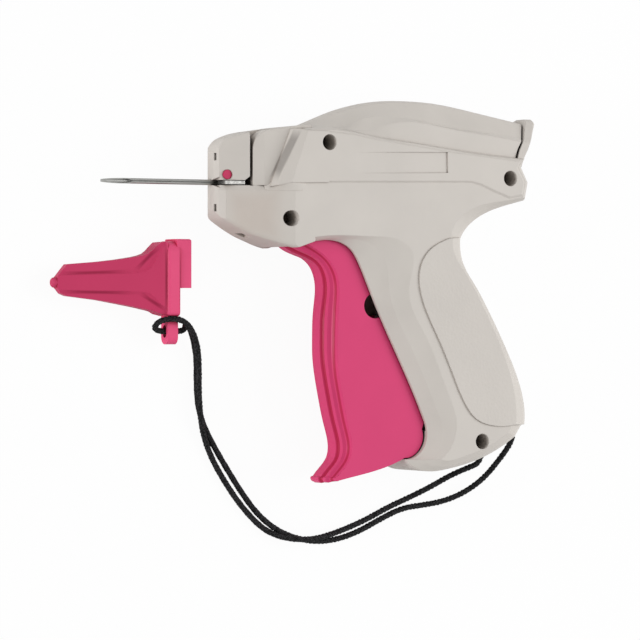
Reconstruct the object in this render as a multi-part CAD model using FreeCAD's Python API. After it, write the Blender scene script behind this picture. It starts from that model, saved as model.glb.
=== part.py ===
import FreeCAD, Part
import math
import os

# Hand-held garment tag attacher, lying on its right flank, with its needle cap on a loop of cord.
# X runs from the needle to the tail, Y runs up the handle towards the hump, Z runs up from the
# surface. The datum of the outlines is the needle axis at the back of the nose face.

# Overall sizes, in millimetres
SPAN = 100.0
MID_HEIGHT = 15.0
ORIGIN_X = 37.3
ORIGIN_Y = -39.3

# Heights of the shell's levels above the parting plane
EDGE_LEVEL = 10.6
SHOULDER_LEVEL = 12.7
FLANK_LEVEL = 14.4
UPPER_FLANK_LEVEL = 15.0
RIDGE_LOW_LEVEL = 11.0
RIDGE_MID_LEVEL = 13.6
PAD_RISE = 0.5
CROWN_HALF = 2.0
CROWN_ROUND_LEVEL = 4.2
HUMP_UPPER_LEVEL = 9.0
HUMP_LOWER_LEVEL = 11.2
HUMP_FOOT_LEVEL = 12.4
TAIL_GAP_FLOOR = 3.2

# Cavity depths, measured from the parting plane
BODY_BAY_HALF = 12.2
ARM_BAY_HALF = 7.6
HUMP_BAY_HALF = 1.5
LATCH_BAY_HALF = 2.1
GUIDE_BAY_HALF = 3.6

# Nose, feed slot and needle
FEED_SLOT = 1.2
FEED_EXIT_HALF = 2.6
FEED_EXIT_DEPTH = 1.1
FUNNEL_RADIUS = 7.6
FUNNEL_FLOOR = 3.0
CHANNEL_HALF = 1.06
SLOT_MARK_WIDTH = 1.0
SLOT_MARK_HEIGHT = 2.6
NOSE_ROUND = 0.9
CHIN_ROUND = 1.4
NEEDLE_RADIUS = 1.0
NEEDLE_BORE_RADIUS = 0.70
NEEDLE_SLIT = 0.45
NEEDLE_BEVEL_LENGTH = 14.0
ROD_RADIUS = 0.62
GUIDE_HALF = 3.4
KNIFE_THICKNESS = 0.55

# Screws and bosses
SCREW_HEAD_RADIUS = 2.7
SCREW_WELL_RADIUS = 2.9
SCREW_HEAD_HEIGHT = 2.0
SCREW_RADIUS = 1.45
SCREW_SEAT = 3.5
SCREW_DEPTH = 9.0
BOSS_RADIUS = 4.3

# Trigger and drive
TRIGGER_HALF = 8.9
TRIGGER_CLEARANCE = 0.5
TRIGGER_BAY_HALF = TRIGGER_HALF + TRIGGER_CLEARANCE
TRIGGER_FLUTE_LEVELS = [0.0, 2.2, 2.6, 3.3, 3.9, 5.7, 6.2, 7.3]
TRIGGER_HOLLOW_HALF = 6.4
TRIGGER_SWING = 14.0
LEVER_SWING = 53.8
TONGUE_HALF = 5.8
TONGUE_RADIUS = 6.0
PIVOT_PIN_RADIUS = 2.0
PIN_RADIUS = 1.5
RUN_CLEARANCE = 0.06
LEVER_HALF = 1.5
LEVER_TIP_RISE = 5.5
LEVER_SHORT_ARM = 9.75
LEVER_HUB_RADIUS = 4.6
LEVER_TIP_RADIUS = 2.9
LEVER_TIP_HALF = 2.2
LEVER_ARM_HALF = 3.4
LEVER_FOOT_RADIUS = 4.2
LEVER_SLOT_HALF = 2.0
FULCRUM_BOSS_RADIUS = 4.2
FULCRUM_BOSS_GAP = 0.3
WINDOW_RADIUS = 4.75
CARRIAGE_LENGTH = 12.0
CARRIAGE_HALF = 5.1
CARRIAGE_LOW = 4.6
CARRIAGE_HEAD = 1.7
CARRIAGE_FORK_HALF = 1.8
CARRIAGE_SLOT_HALF = 2.05
RAIL_THICKNESS = 1.3
RAIL_GAP = 0.12
ROD_SOCKET_RADIUS = 2.6
ROD_SOCKET_LENGTH = 4.0
CARRIAGE_WALL = 1.5
CARRIAGE_SILL = 1.1
SPRING_RADIUS = 3.2
SPRING_WIRE_RADIUS = 0.4
SPRING_PITCH = 3.4

# Feed wheel and needle lock
WHEEL_RADIUS = 4.0
WHEEL_TOOTH_DEPTH = 0.7
WHEEL_TEETH = 14
WHEEL_HALF = 1.6
AXLE_RADIUS = 1.0
PAWL_THICKNESS = 0.4
LOCK_PIN_RADIUS = 1.75
LOCK_PIN_TOP = 5.5
LOCK_PIN_FAR = 6.9
LOCK_ARM_HALF = 1.5
LOCK_TAB_RADIUS = 2.0
LOCK_TAB_NEAR = 10.0
LOCK_TAB_FAR = 11.6

# Needle cap
CAP_DEPTH = 9.35
CAP_PANEL_STEP = 0.9
CAP_PANEL_RISE = 0.55
CAP_FLANGE_HALF = 5.6
CAP_FLANGE_CORNER = 4.4
CAP_FLANGE_HEEL = 1.6
CAP_FLANGE_ROUND = 1.2
CAP_COLLAR_HALF = 5.0
CAP_COLLAR_WALL = 1.6
CAP_BORE_HALF = 1.3
CAP_WIDE_BORE_HALF = 2.3
CAP_LUG_HALF = 2.8
CAP_LUG_THICKNESS = 4.1
CAP_EYE_RADIUS = 1.3
CAP_BUTTON_RADIUS = 1.8
CAP_BUTTON_LENGTH = 3.0
CAP_BUTTON_BEVEL = 0.5

# Lanyard
CORD_RADIUS = 0.95
CORD_HOLE_RADIUS = 1.35

# Outline tables: shares of SPAN. Each outline is a list of runs that share their end points.
BODY_EDGE_SHARES = [
    [(0.270, -0.232), (0.340, -0.217), (0.408, -0.207), (0.462, -0.212), (0.515, -0.238),
     (0.552, -0.290), (0.606, -0.408), (0.705, -0.610), (0.777, -0.752), (0.827, -0.863)],
    [(0.827, -0.863), (0.842, -0.913), (0.836, -0.962), (0.812, -0.996), (0.755, -1.019)],
    [(0.755, -1.019), (0.785, -1.048), (0.835, -1.064), (0.930, -1.058), (1.085, -1.017),
     (1.225, -0.942)],
    [(1.225, -0.942), (1.262, -0.885)],
    [(1.262, -0.885), (1.262, -0.830), (1.250, -0.772), (1.196, -0.636), (1.125, -0.501),
     (1.042, -0.366), (0.990, -0.280), (0.979, -0.225), (1.005, -0.165), (1.060, -0.118),
     (1.160, -0.076), (1.265, -0.049)],
    [(1.265, -0.049), (1.278, 0.018)],
    [(1.278, 0.018), (1.246, 0.078)],
    [(1.246, 0.078), (1.262, 0.110)],
    [(1.262, 0.110), (0.934, 0.140), (0.760, 0.162), (0.586, 0.183), (0.508, 0.197),
     (0.380, 0.206), (0.308, 0.203)],
    [(0.308, 0.203), (0.290, 0.000)],
    [(0.290, 0.000), (0.270, -0.232)],
]
BODY_SHOULDER_SHARES = [
    [(0.270, -0.226), (0.342, -0.210), (0.425, -0.200), (0.510, -0.203), (0.590, -0.222),
     (0.645, -0.272), (0.668, -0.398), (0.755, -0.592), (0.826, -0.736), (0.876, -0.850)],
    [(0.876, -0.850), (0.895, -0.893), (0.893, -0.945), (0.872, -0.988), (0.820, -1.022)],
    [(0.820, -1.022), (0.835, -1.036), (0.865, -1.046), (0.935, -1.044), (1.080, -1.004),
     (1.208, -0.936)],
    [(1.208, -0.936), (1.240, -0.885)],
    [(1.240, -0.885), (1.240, -0.830), (1.228, -0.766), (1.175, -0.626), (1.105, -0.490),
     (1.022, -0.355), (0.968, -0.272), (0.958, -0.225), (0.985, -0.155), (1.045, -0.105),
     (1.150, -0.069), (1.258, -0.043)],
    [(1.258, -0.043), (1.270, 0.018)],
    [(1.270, 0.018), (1.240, 0.076)],
    [(1.240, 0.076), (1.256, 0.108)],
    [(1.256, 0.108), (0.934, 0.137), (0.760, 0.159), (0.586, 0.180), (0.508, 0.194),
     (0.380, 0.203), (0.309, 0.200)],
    [(0.309, 0.200), (0.291, 0.000)],
    [(0.291, 0.000), (0.270, -0.226)],
]
BODY_FLANK_SHARES = [
    [(0.270, -0.208), (0.345, -0.197), (0.450, -0.190), (0.590, -0.193), (0.700, -0.205),
     (0.755, -0.245), (0.742, -0.385), (0.818, -0.567), (0.885, -0.715), (0.935, -0.830)],
    [(0.935, -0.830), (0.947, -0.875), (0.945, -0.925), (0.925, -0.975), (0.880, -1.020)],
    [(0.880, -1.020), (0.895, -1.024), (0.915, -1.026), (0.955, -1.018), (1.065, -0.983),
     (1.175, -0.925)],
    [(1.175, -0.925), (1.200, -0.880)],
    [(1.200, -0.880), (1.200, -0.828), (1.188, -0.752), (1.138, -0.610), (1.070, -0.475),
     (0.988, -0.340), (0.935, -0.262), (0.922, -0.222), (0.945, -0.140), (1.015, -0.085),
     (1.130, -0.058), (1.240, -0.037)],
    [(1.240, -0.037), (1.252, 0.020)],
    [(1.252, 0.020), (1.222, 0.074)],
    [(1.222, 0.074), (1.240, 0.103)],
    [(1.240, 0.103), (0.934, 0.131), (0.760, 0.153), (0.586, 0.174), (0.508, 0.188),
     (0.380, 0.197), (0.312, 0.194)],
    [(0.312, 0.194), (0.293, 0.000)],
    [(0.293, 0.000), (0.270, -0.208)],
]
UPPER_FLANK_LOW_SHARES = [
    (0.245, 0.000), (0.312, 0.190), (0.380, 0.193), (0.508, 0.184), (0.586, 0.170), (0.934, 0.127),
    (1.232, 0.099), (1.216, 0.072), (1.246, 0.020), (1.238, -0.033), (1.178, -0.045), (1.114, -0.0225),
    (1.051, 0.003), (1.009, 0.0128),
]
UPPER_FLANK_HIGH_SHARES = [
    (0.253, 0.006), (0.318, 0.183), (0.380, 0.187), (0.508, 0.178), (0.585, 0.164), (0.933, 0.121),
    (1.222, 0.094), (1.208, 0.072), (1.238, 0.020), (1.231, -0.027), (1.180, -0.0375), (1.117, -0.016),
    (1.054, 0.009), (1.011, 0.0188),
]
LABEL_SHARES = [(0.495, 0.038), (0.9065, 0.1145)]
LABEL_TILT = 1.3
LABEL_DEPTH = 0.45

HUMP_FRONT_SHARE = 0.345
HUMP_REAR_SHARE = 1.222
HUMP_BASE_SHARE = 0.050
HUMP_CROWN_SHARES = [
    (0.345, 0.213), (0.427, 0.246), (0.504, 0.275), (0.580, 0.296), (0.660, 0.311), (0.787, 0.317),
    (0.920, 0.311), (1.080, 0.286), (1.265, 0.252), (1.315, 0.243),
]
HUMP_ROUND_SHARES = [
    (0.345, 0.209), (0.427, 0.239), (0.504, 0.268), (0.580, 0.288), (0.660, 0.303), (0.787, 0.309),
    (0.920, 0.303), (1.080, 0.279), (1.265, 0.246), (1.310, 0.238),
]
HUMP_UPPER_SHARES = [
    (0.345, 0.207), (0.425, 0.209), (0.500, 0.213), (0.575, 0.243), (0.660, 0.253), (0.775, 0.248),
    (0.920, 0.223), (1.080, 0.206), (1.235, 0.190), (1.283, 0.185),
]
HUMP_LOWER_SHARES = [
    (0.345, 0.206), (0.425, 0.205), (0.500, 0.201), (0.575, 0.200), (0.662, 0.221), (0.775, 0.235),
    (0.920, 0.216), (1.080, 0.196), (1.235, 0.174), (1.272, 0.168),
]
HUMP_FOOT_SHARES = [
    (0.345, 0.203), (0.425, 0.202), (0.508, 0.196), (0.586, 0.182), (0.680, 0.170), (0.800, 0.156),
    (0.934, 0.139), (1.080, 0.126), (1.200, 0.115), (1.240, 0.1115),
]
TAIL_FOOT_SHARES = [(1.215, 0.070), (1.2395, 0.076)]
TAIL_TOP_SHARES = [
    [(1.309, 0.256), (1.316, 0.262), (1.346, 0.262), (1.352, 0.254)],
    [(1.309, 0.256), (1.316, 0.262), (1.346, 0.262), (1.352, 0.254)],
    [(1.306, 0.246), (1.3095, 0.251), (1.344, 0.251), (1.3485, 0.243)],
    [(1.270, 0.184), (1.2725, 0.188), (1.3055, 0.188), (1.304, 0.184)],
    [(1.254, 0.166), (1.256, 0.169), (1.289, 0.169), (1.287, 0.166)],
    [(1.2365, 0.140), (1.2385, 0.143), (1.274, 0.143), (1.272, 0.140)],
    [(1.2245, 0.114), (1.226, 0.117), (1.2535, 0.117), (1.252, 0.114)],
]
TAIL_LEVELS = [0.0, 2.8, 5.0, 9.8, 11.6, 12.4, 13.2]
TAIL_GAP_SHARES = [
    (1.2135, 0.100), (1.2205, 0.117), (1.2315, 0.143), (1.2490, 0.169), (1.2655, 0.188), (1.3025, 0.251),
    (1.3045, 0.280), (1.3140, 0.280), (1.3120, 0.251), (1.2750, 0.188), (1.2585, 0.169), (1.2410, 0.143),
    (1.2300, 0.117), (1.2230, 0.100),
]

NOSE_SIDE_SHARES = [
    [(-0.011, -0.101), (-0.011, 0.110)],
    [(-0.011, 0.110), (0.004, 0.136), (0.028, 0.157)],
    [(0.028, 0.157), (0.070, 0.1735), (0.126, 0.187), (0.201, 0.198), (0.276, 0.209), (0.345, 0.213)],
    [(0.345, 0.213), (0.345, -0.213)],
    [(0.345, -0.213), (0.276, -0.236)],
    [(0.276, -0.236), (0.226, -0.225), (0.176, -0.210), (0.126, -0.194), (0.077, -0.172),
     (0.030, -0.146)],
    [(0.030, -0.146), (0.004, -0.126), (-0.011, -0.101)],
]
NOSE_UPPER_PLAN_SHARES = [(-0.011, 0.0), (-0.011, 0.0225), (0.000, 0.045), (0.109, 0.080), (0.109, 0.0)]
BLOCK_PLAN_SHARES = [
    (0.109, 0.0), (0.109, 0.080), (0.121, 0.080), (0.159, 0.096), (0.345, 0.116), (0.345, 0.0),
]
NOSE_TURN_PLAN_SHARES = [
    (-0.011, 0.0), (-0.011, 0.0225), (0.000, 0.045), (0.019, 0.0511), (0.110, 0.0803), (0.262, 0.107),
    (0.345, 0.144), (0.345, 0.0),
]
NOSE_LOWER_PLAN_SHARES = [
    (-0.011, 0.0), (-0.011, 0.0225), (0.000, 0.045), (0.019, 0.065), (0.110, 0.086), (0.262, 0.144),
    (0.345, 0.144), (0.345, 0.0),
]
NOSE_JOIN_SHARE = -0.010
NOSE_STEP_SHARE = -0.030
NOSE_TOP_SHARES = [(-0.020, 0.080), (0.400, 0.300)]
NOSE_CHIN_SHARES = [(0.015, -0.300), (0.2755, -0.080)]
RIDGE_LOW_SHARES = [(0.178, -0.014), (0.262, 0.199), (0.400, 0.199), (0.400, 0.0028)]
RIDGE_MID_SHARES = [(0.199, -0.010), (0.283, 0.197), (0.400, 0.197), (0.400, 0.0028)]
RIDGE_HIGH_SHARES = [(0.245, 0.000), (0.312, 0.190), (0.400, 0.190), (0.400, 0.0028)]
FUNNEL_BASE_SHARE = 0.120
SLOT_MARK_SHARES = [(-0.006, 0.093), (-0.006, -0.093)]
FRONT_VEE_SHARES = [(0.000, -0.015), (0.026, 0.070), (-0.028, 0.070)]
SLOT_VEE_SHARES = [(0.086, 0.003), (0.109, 0.022), (0.121, 0.022), (0.121, -0.008), (0.086, -0.008)]

PAD_FRONT_SHARES = [
    (0.897, -0.203), (0.839, -0.233), (0.797, -0.284), (0.784, -0.352), (0.800, -0.432),
    (0.868, -0.573), (0.932, -0.710), (0.991, -0.827), (1.027, -0.868), (1.078, -0.892),
]
PAD_TOP_EDGE_SHARES = [(0.985, -0.193), (0.947, -0.192)]
PAD_TOP_SHOULDER_SHARES = [(0.966, -0.194), (0.935, -0.194)]
PAD_TOP_FLANK_SHARES = [(0.931, -0.196), (0.915, -0.197)]
PAD_END_EDGE_SHARES = (1.267, -0.895)
PAD_END_SHOULDER_SHARES = (1.245, -0.895)
PAD_END_FLANK_SHARES = (1.206, -0.894)
PAD_BACK_EDGE_SHARES = [
    (1.267, -0.895), (1.267, -0.830), (1.255, -0.772), (1.201, -0.638), (1.130, -0.503),
    (1.047, -0.368), (0.995, -0.282), (0.984, -0.230), (0.985, -0.193),
]
PAD_BACK_SHOULDER_SHARES = [
    (1.245, -0.895), (1.245, -0.830), (1.233, -0.768), (1.180, -0.628), (1.110, -0.492),
    (1.027, -0.357), (0.973, -0.274), (0.963, -0.228), (0.966, -0.194),
]
PAD_BACK_FLANK_SHARES = [
    (1.206, -0.894), (1.206, -0.828), (1.194, -0.754), (1.144, -0.612), (1.076, -0.477),
    (0.994, -0.342), (0.941, -0.264), (0.928, -0.224), (0.931, -0.196),
]

TRIGGER_BAY_SHARES = [
    (0.258, -0.280), (0.258, -0.165), (0.300, -0.125), (0.300, 0.090), (1.080, 0.090), (1.140, 0.070),
    (1.140, -0.020), (1.040, -0.078), (0.975, -0.125), (0.945, -0.185), (0.943, -0.240),
    (0.962, -0.300), (1.012, -0.385), (1.092, -0.515), (1.163, -0.650), (1.213, -0.780),
    (1.222, -0.850), (1.190, -0.888), (0.905, -0.888), (0.868, -0.905), (0.842, -0.915),
    (0.720, -0.930), (0.500, -0.600), (0.400, -0.280),
]
BODY_BAY_SHARES = [
    (0.345, -0.150), (0.345, 0.080), (1.060, 0.080), (1.100, 0.060), (1.100, -0.015), (1.020, -0.055),
    (0.930, -0.120), (0.905, -0.165), (0.600, -0.165),
]
HANDLE_BAY_SHARES = [
    (0.795, -0.300), (0.895, -0.255), (0.950, -0.335), (1.032, -0.470), (1.102, -0.605),
    (1.155, -0.745), (1.165, -0.850), (1.000, -0.860), (0.950, -0.790), (0.850, -0.580),
    (0.785, -0.440),
]
ARM_BAY_SHARES = [
    (0.335, 0.080), (0.335, 0.170), (0.450, 0.168), (0.550, 0.160), (0.650, 0.190), (0.800, 0.200),
    (0.950, 0.180), (1.100, 0.155), (1.190, 0.135), (1.170, 0.080),
]
HUMP_BAY_SHARES = [
    (0.500, 0.150), (0.560, 0.252), (0.660, 0.278), (0.800, 0.285), (0.920, 0.280), (1.080, 0.255),
    (1.180, 0.235), (1.180, 0.140),
]
FEED_BAY_SHARES = [(0.120, -0.1045), (0.215, -0.028)]
GUIDE_BAY_SHARES = [(0.120, -0.028), (0.305, 0.037)]

SCREW_SHARES = [(0.402, 0.150), (0.249, -0.130), (1.180, 0.031), (1.060, -0.956)]
TRIGGER_PIVOT_SHARES = (0.755, -0.935)
FULCRUM_SHARES = (0.763, -0.432)
WINDOW_SHARES = [(0.629, -0.448), (0.700, -0.437), (0.860, -0.430)]
LEVER_WINDOW_SHARES = (0.014, 0.100, 0.360)
SPRING_SHARES = [(0.802, -0.700), (1.183, -0.700)]
SPRING_WEB_SHARES = [(0.780, -0.748), (0.800, -0.652)]

TRIGGER_SPINE_SHARES = [
    [(0.265, -0.215), (0.330, -0.257), (0.389, -0.279), (0.419, -0.301), (0.438, -0.340),
     (0.444, -0.390), (0.438, -0.440), (0.431, -0.500), (0.430, -0.560), (0.431, -0.634),
     (0.440, -0.701), (0.457, -0.790), (0.478, -0.880), (0.491, -0.924), (0.499, -0.980),
     (0.491, -1.013), (0.470, -1.040), (0.436, -1.079)],
    [(0.436, -1.079), (0.424, -1.086), (0.427, -1.096), (0.447, -1.100)],
    [(0.447, -1.100), (0.560, -1.076), (0.660, -1.052), (0.723, -1.029), (0.755, -1.014)],
]
TRIGGER_SIDE_SHARES = [
    [(0.290, -0.190), (0.345, -0.222), (0.395, -0.250), (0.435, -0.282), (0.466, -0.328),
     (0.477, -0.385), (0.475, -0.440), (0.472, -0.500), (0.470, -0.560), (0.470, -0.634),
     (0.475, -0.701), (0.492, -0.790), (0.512, -0.880), (0.524, -0.924), (0.531, -0.975),
     (0.524, -1.010), (0.505, -1.040), (0.466, -1.081)],
    [(0.466, -1.081), (0.460, -1.086), (0.462, -1.091), (0.474, -1.093)],
    [(0.474, -1.093), (0.570, -1.073), (0.664, -1.050), (0.723, -1.029), (0.755, -1.014)],
]
TRIGGER_FLUTE_SHARES = [0.0, 0.0, 0.25, 0.36, 0.25, 0.30, 0.68, 0.86]
TRIGGER_REAR_SHARES = [
    [(0.755, -1.014), (0.811, -0.991), (0.834, -0.935), (0.829, -0.908)],
    [(0.829, -0.908), (0.843, -0.850), (0.835, -0.760), (0.800, -0.640), (0.765, -0.560),
     (0.735, -0.480), (0.700, -0.400), (0.640, -0.310), (0.610, -0.240), (0.585, -0.175)],
]
TRIGGER_HOLLOW_SHARES = [
    (0.360, -0.150), (0.358, -0.214), (0.400, -0.238), (0.440, -0.262), (0.470, -0.300),
    (0.484, -0.340), (0.492, -0.386), (0.488, -0.450), (0.482, -0.520), (0.481, -0.630),
    (0.492, -0.715), (0.514, -0.820), (0.537, -0.900), (0.545, -0.960), (0.540, -0.995),
    (0.540, -1.040), (0.560, -1.046), (0.660, -1.024), (0.712, -1.004), (0.755, -0.999),
    (0.950, -1.040), (0.950, -0.150),
]
TONGUE_SHARES = [(0.755, -0.995), (0.755, -0.875), (0.920, -0.900), (0.920, -1.005)]

WHEEL_SHARES = (0.163, -0.060)
PAWL_SHARES = [(0.2075, -0.048), (0.2130, -0.050), (0.2130, -0.1045), (0.2090, -0.1045), (0.2090, -0.053)]
GUIDE_SHARES = [(0.132, -0.015), (0.252, 0.035)]
HUB_SHARES = [(0.010, -0.024), (0.102, 0.022)]
NEEDLE_SHARES = [-0.451, 0.105]
ROD_TIP_SHARE = 0.137
LOCK_SHARES = [(0.030, 0.028), (0.140, 0.028)]
LOCK_ARM_SHARES = [(0.030, -0.0585), (0.140, -0.0925), (0.140, -0.106), (0.034, -0.069), (0.030, -0.069)]
RAIL_SHARES = (0.430, 1.055)
WALL_RAIL_SHARES = (0.015, 0.030)

CAP_TIP_SHARE = -0.606
CAP_AXIS_SHARE = -0.3665
# Station, top, upper side edge, lower side edge, bottom, half width, half width of top and bottom
CAP_SECTION_SHARES = [
    (-0.5890, -0.3460, -0.3480, -0.3850, -0.3870, 0.0185, 0.0125),
    (-0.5730, -0.3271, -0.3418, -0.3934, -0.4060, 0.0205, 0.0135),
    (-0.5500, -0.3007, -0.3413, -0.3940, -0.4149, 0.0221, 0.0150),
    (-0.4270, -0.2910, -0.3389, -0.3951, -0.4289, 0.0307, 0.0200),
    (-0.3496, -0.2825, -0.3363, -0.3963, -0.4418, 0.0361, 0.0240),
    (-0.2796, -0.2723, -0.3323, -0.3971, -0.4539, 0.0409, 0.0280),
    (-0.2523, -0.2663, -0.3271, -0.3988, -0.4593, 0.0428, 0.0290),
    (-0.2328, -0.2600, -0.3169, -0.4031, -0.4633, 0.0442, 0.0300),
    (-0.2171, -0.2490, -0.2997, -0.4140, -0.4665, 0.0452, 0.0310),
    (-0.2015, -0.2343, -0.2724, -0.4284, -0.4702, 0.0463, 0.0340),
    (-0.1819, -0.2180, -0.2390, -0.4538, -0.4800, 0.0477, 0.0380),
    (-0.1620, -0.2160, -0.2260, -0.4720, -0.4840, 0.0480, 0.0400),
]
CAP_FLANGE_SHARES = [(-0.1645, -0.4865), (-0.1157, -0.2142)]
CAP_COLLAR_SHARES = [(-0.1250, -0.3844), (-0.0674, -0.2060)]
CAP_BORE_SHARES = (-0.565, -0.060)
CAP_WIDE_BORE_SHARE = -0.400
CAP_LUG_SHARES = [(-0.1517, -0.5620), (-0.1517, -0.4700)]
CAP_EYE_SHARES = [(-0.180, -0.5525), (-0.180, -0.5325)]
CAP_SHELL_ROUND = 0.8

CORD_MOUTH_LOW_SHARES = (1.146, -1.008, -0.003)
CORD_MOUTH_BACK_SHARES = (1.2445, -0.912, -0.003)
CORD_CORNER_SHARES = (1.172, -0.907, -0.003)
STRAND_SHARES = [
    (1.146, -1.008, -0.003), (1.137, -1.043, -0.003), (1.098, -1.069, -0.020), (1.040, -1.100, -0.055),
    (0.972, -1.138, -0.092), (0.897, -1.174, -0.125), (0.812, -1.209, -0.1395),
    (0.725, -1.250, -0.1395), (0.640, -1.282, -0.1395), (0.555, -1.306, -0.134),
    (0.480, -1.3185, -0.119), (0.410, -1.3185, -0.119), (0.340, -1.306, -0.134),
    (0.270, -1.272, -0.1395), (0.186, -1.189, -0.1395), (0.119, -1.100, -0.1395),
    (0.060, -1.005, -0.1395), (0.022, -0.915, -0.136), (0.002, -0.830, -0.120), (-0.003, -0.760, -0.118),
    (-0.004, -0.690, -0.113), (-0.010, -0.625, -0.103), (-0.028, -0.574, -0.087), (-0.062, -0.530, -0.067),
    (-0.108, -0.5035, -0.0530), (-0.160, -0.4995, -0.0525), (-0.191, -0.5060, -0.0620),
    (-0.200, -0.5285, -0.0830), (-0.178, -0.5425, -0.0935), (-0.095, -0.5425, -0.0935),
    (-0.055, -0.556, -0.101), (-0.020, -0.602, -0.122), (-0.006, -0.660, -0.1365), (-0.001, -0.730, -0.1395),
    (0.005, -0.815, -0.1395), (0.030, -0.890, -0.1395),
    (0.075, -0.970, -0.1395), (0.130, -1.055, -0.1395), (0.190, -1.142, -0.1395),
    (0.255, -1.222, -0.1395), (0.335, -1.283, -0.1395), (0.425, -1.318, -0.1395),
    (0.515, -1.331, -0.1395), (0.605, -1.322, -0.1395), (0.695, -1.293, -0.1395),
    (0.785, -1.250, -0.1395), (0.875, -1.213, -0.1395), (0.965, -1.204, -0.1390),
    (1.055, -1.184, -0.134), (1.140, -1.145, -0.119), (1.207, -1.092, -0.092), (1.248, -1.030, -0.056),
    (1.290, -0.970, -0.022), (1.290, -0.9151, -0.003), (1.2445, -0.912, -0.003),
]

Z = FreeCAD.Vector(0, 0, 1)
X = FreeCAD.Vector(1, 0, 0)


def spot(share, level):
    """A point given by a pair of shares and a level above the parting plane."""
    return FreeCAD.Vector(share[0] * SPAN, share[1] * SPAN, level)


def edge_through(shares, level):
    """A straight edge through two points, or a smooth one through more."""
    points = [spot(share, level) for share in shares]
    if len(points) == 2:
        return Part.LineSegment(points[0], points[1]).toShape()
    curve = Part.BSplineCurve()
    curve.interpolate(points)
    return curve.toShape()


def smooth_wire(runs, level):
    """A closed wire made of runs that share their end points."""
    return Part.Wire([edge_through(run, level) for run in runs])


def corner_wire(shares, level):
    """A closed polygon at one level."""
    points = [spot(share, level) for share in shares]
    return Part.makePolygon(points + [points[0]])


def between(lower, upper):
    """A solid between two matching wires."""
    return Part.makeLoft([lower, upper], True, True)


def slab(shares, low, high):
    """A polygon extruded from one level to another."""
    return between(corner_wire(shares, low), corner_wire(shares, high))


def block(low_share, high_share, low, high):
    """A box between two corners given as shares, from one level to another."""
    shares = [
        (low_share[0], low_share[1]), (high_share[0], low_share[1]),
        (high_share[0], high_share[1]), (low_share[0], high_share[1]),
    ]
    return slab(shares, low, high)


def post(share, radius, low, high):
    """A round post square to the parting plane."""
    return Part.makeCylinder(radius, high - low, spot(share, low), Z)


def plan_solid(shares, low_y, high_y):
    """A plan outline, given as shares along X and of the level, extruded along Y."""
    points = [FreeCAD.Vector(a * SPAN, low_y * SPAN, b * SPAN) for a, b in shares]
    face = Part.Face(Part.makePolygon(points + [points[0]]))
    return face.extrude(FreeCAD.Vector(0, (high_y - low_y) * SPAN, 0))


def plan_turn(low_shares, low_y, high_shares, high_y):
    """A solid between two matching plan outlines at two places along Y."""
    wires = []
    for shares, y in ((low_shares, low_y), (high_shares, high_y)):
        points = [FreeCAD.Vector(a * SPAN, y * SPAN, b * SPAN) for a, b in shares]
        wires.append(Part.makePolygon(points + [points[0]]))
    return between(wires[0], wires[1])


def mixed(first_runs, last_runs, part):
    """Outline runs part of the way from one table to another."""
    runs = []
    for first, last in zip(first_runs, last_runs):
        run = []
        for a, b in zip(first, last):
            run.append((a[0] + (b[0] - a[0]) * part, a[1] + (b[1] - a[1]) * part))
        runs.append(run)
    return runs


def joined(shapes):
    """All the shapes fused to one, with the seams taken out."""
    whole = shapes[0].multiFuse(shapes[1:])
    try:
        return whole.removeSplitter()
    except Part.OCCError:
        return whole


def mirrored(shape):
    """The same shape on the other side of the parting plane."""
    return shape.mirror(FreeCAD.Vector(0, 0, 0), Z)


def turned(shape, share, degrees):
    """A copy of the shape turned about an axis square to the parting plane."""
    copy = shape.copy()
    copy.rotate(spot(share, 0), Z, degrees)
    return copy


def swung(share, centre, degrees):
    """A pair of shares turned about a centre."""
    angle = math.radians(degrees)
    dx = share[0] - centre[0]
    dy = share[1] - centre[1]
    x = centre[0] + dx * math.cos(angle) - dy * math.sin(angle)
    y = centre[1] + dx * math.sin(angle) + dy * math.cos(angle)
    return (x, y)


def tube(points, radius):
    """A round tube along straight runs that are joined by tangent arcs."""
    edges = []
    radii = []
    start = points[0]
    for i in range(1, len(points) - 1):
        back = points[i - 1] - points[i]
        ahead = points[i + 1] - points[i]
        reach = 0.45 * min(back.Length, ahead.Length)
        back.normalize()
        ahead.normalize()
        turn = math.pi - back.getAngle(ahead)
        arc_radius = reach / math.tan(turn / 2)
        radii.append(arc_radius)
        first = points[i] + back * reach
        last = points[i] + ahead * reach
        middle = back + ahead
        middle.normalize()
        centre = points[i] + middle * (arc_radius / math.cos(turn / 2))
        crest = centre - middle * arc_radius
        edges.append(Part.LineSegment(start, first).toShape())
        edges.append(Part.Arc(first, crest, last).toShape())
        start = last
    edges.append(Part.LineSegment(start, points[-1]).toShape())
    path = Part.Wire(edges)
    ring = Part.Wire([Part.makeCircle(radius, points[0], points[1] - points[0])])
    solid = path.makePipeShell([ring], True, False, 2)
    return solid, path, min(radii)


def level_point(share):
    """A point given by three shares."""
    return FreeCAD.Vector(share[0] * SPAN, share[1] * SPAN, share[2] * SPAN)


def hump_wire(top_shares, level):
    """The hump's outline at one level, closed along its base."""
    first = top_shares[0]
    last = top_shares[-1]
    rear = (HUMP_REAR_SHARE, HUMP_BASE_SHARE)
    front = (HUMP_FRONT_SHARE, HUMP_BASE_SHARE)
    return smooth_wire([top_shares, [last, rear], [rear, front], [front, first]], level)


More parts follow.
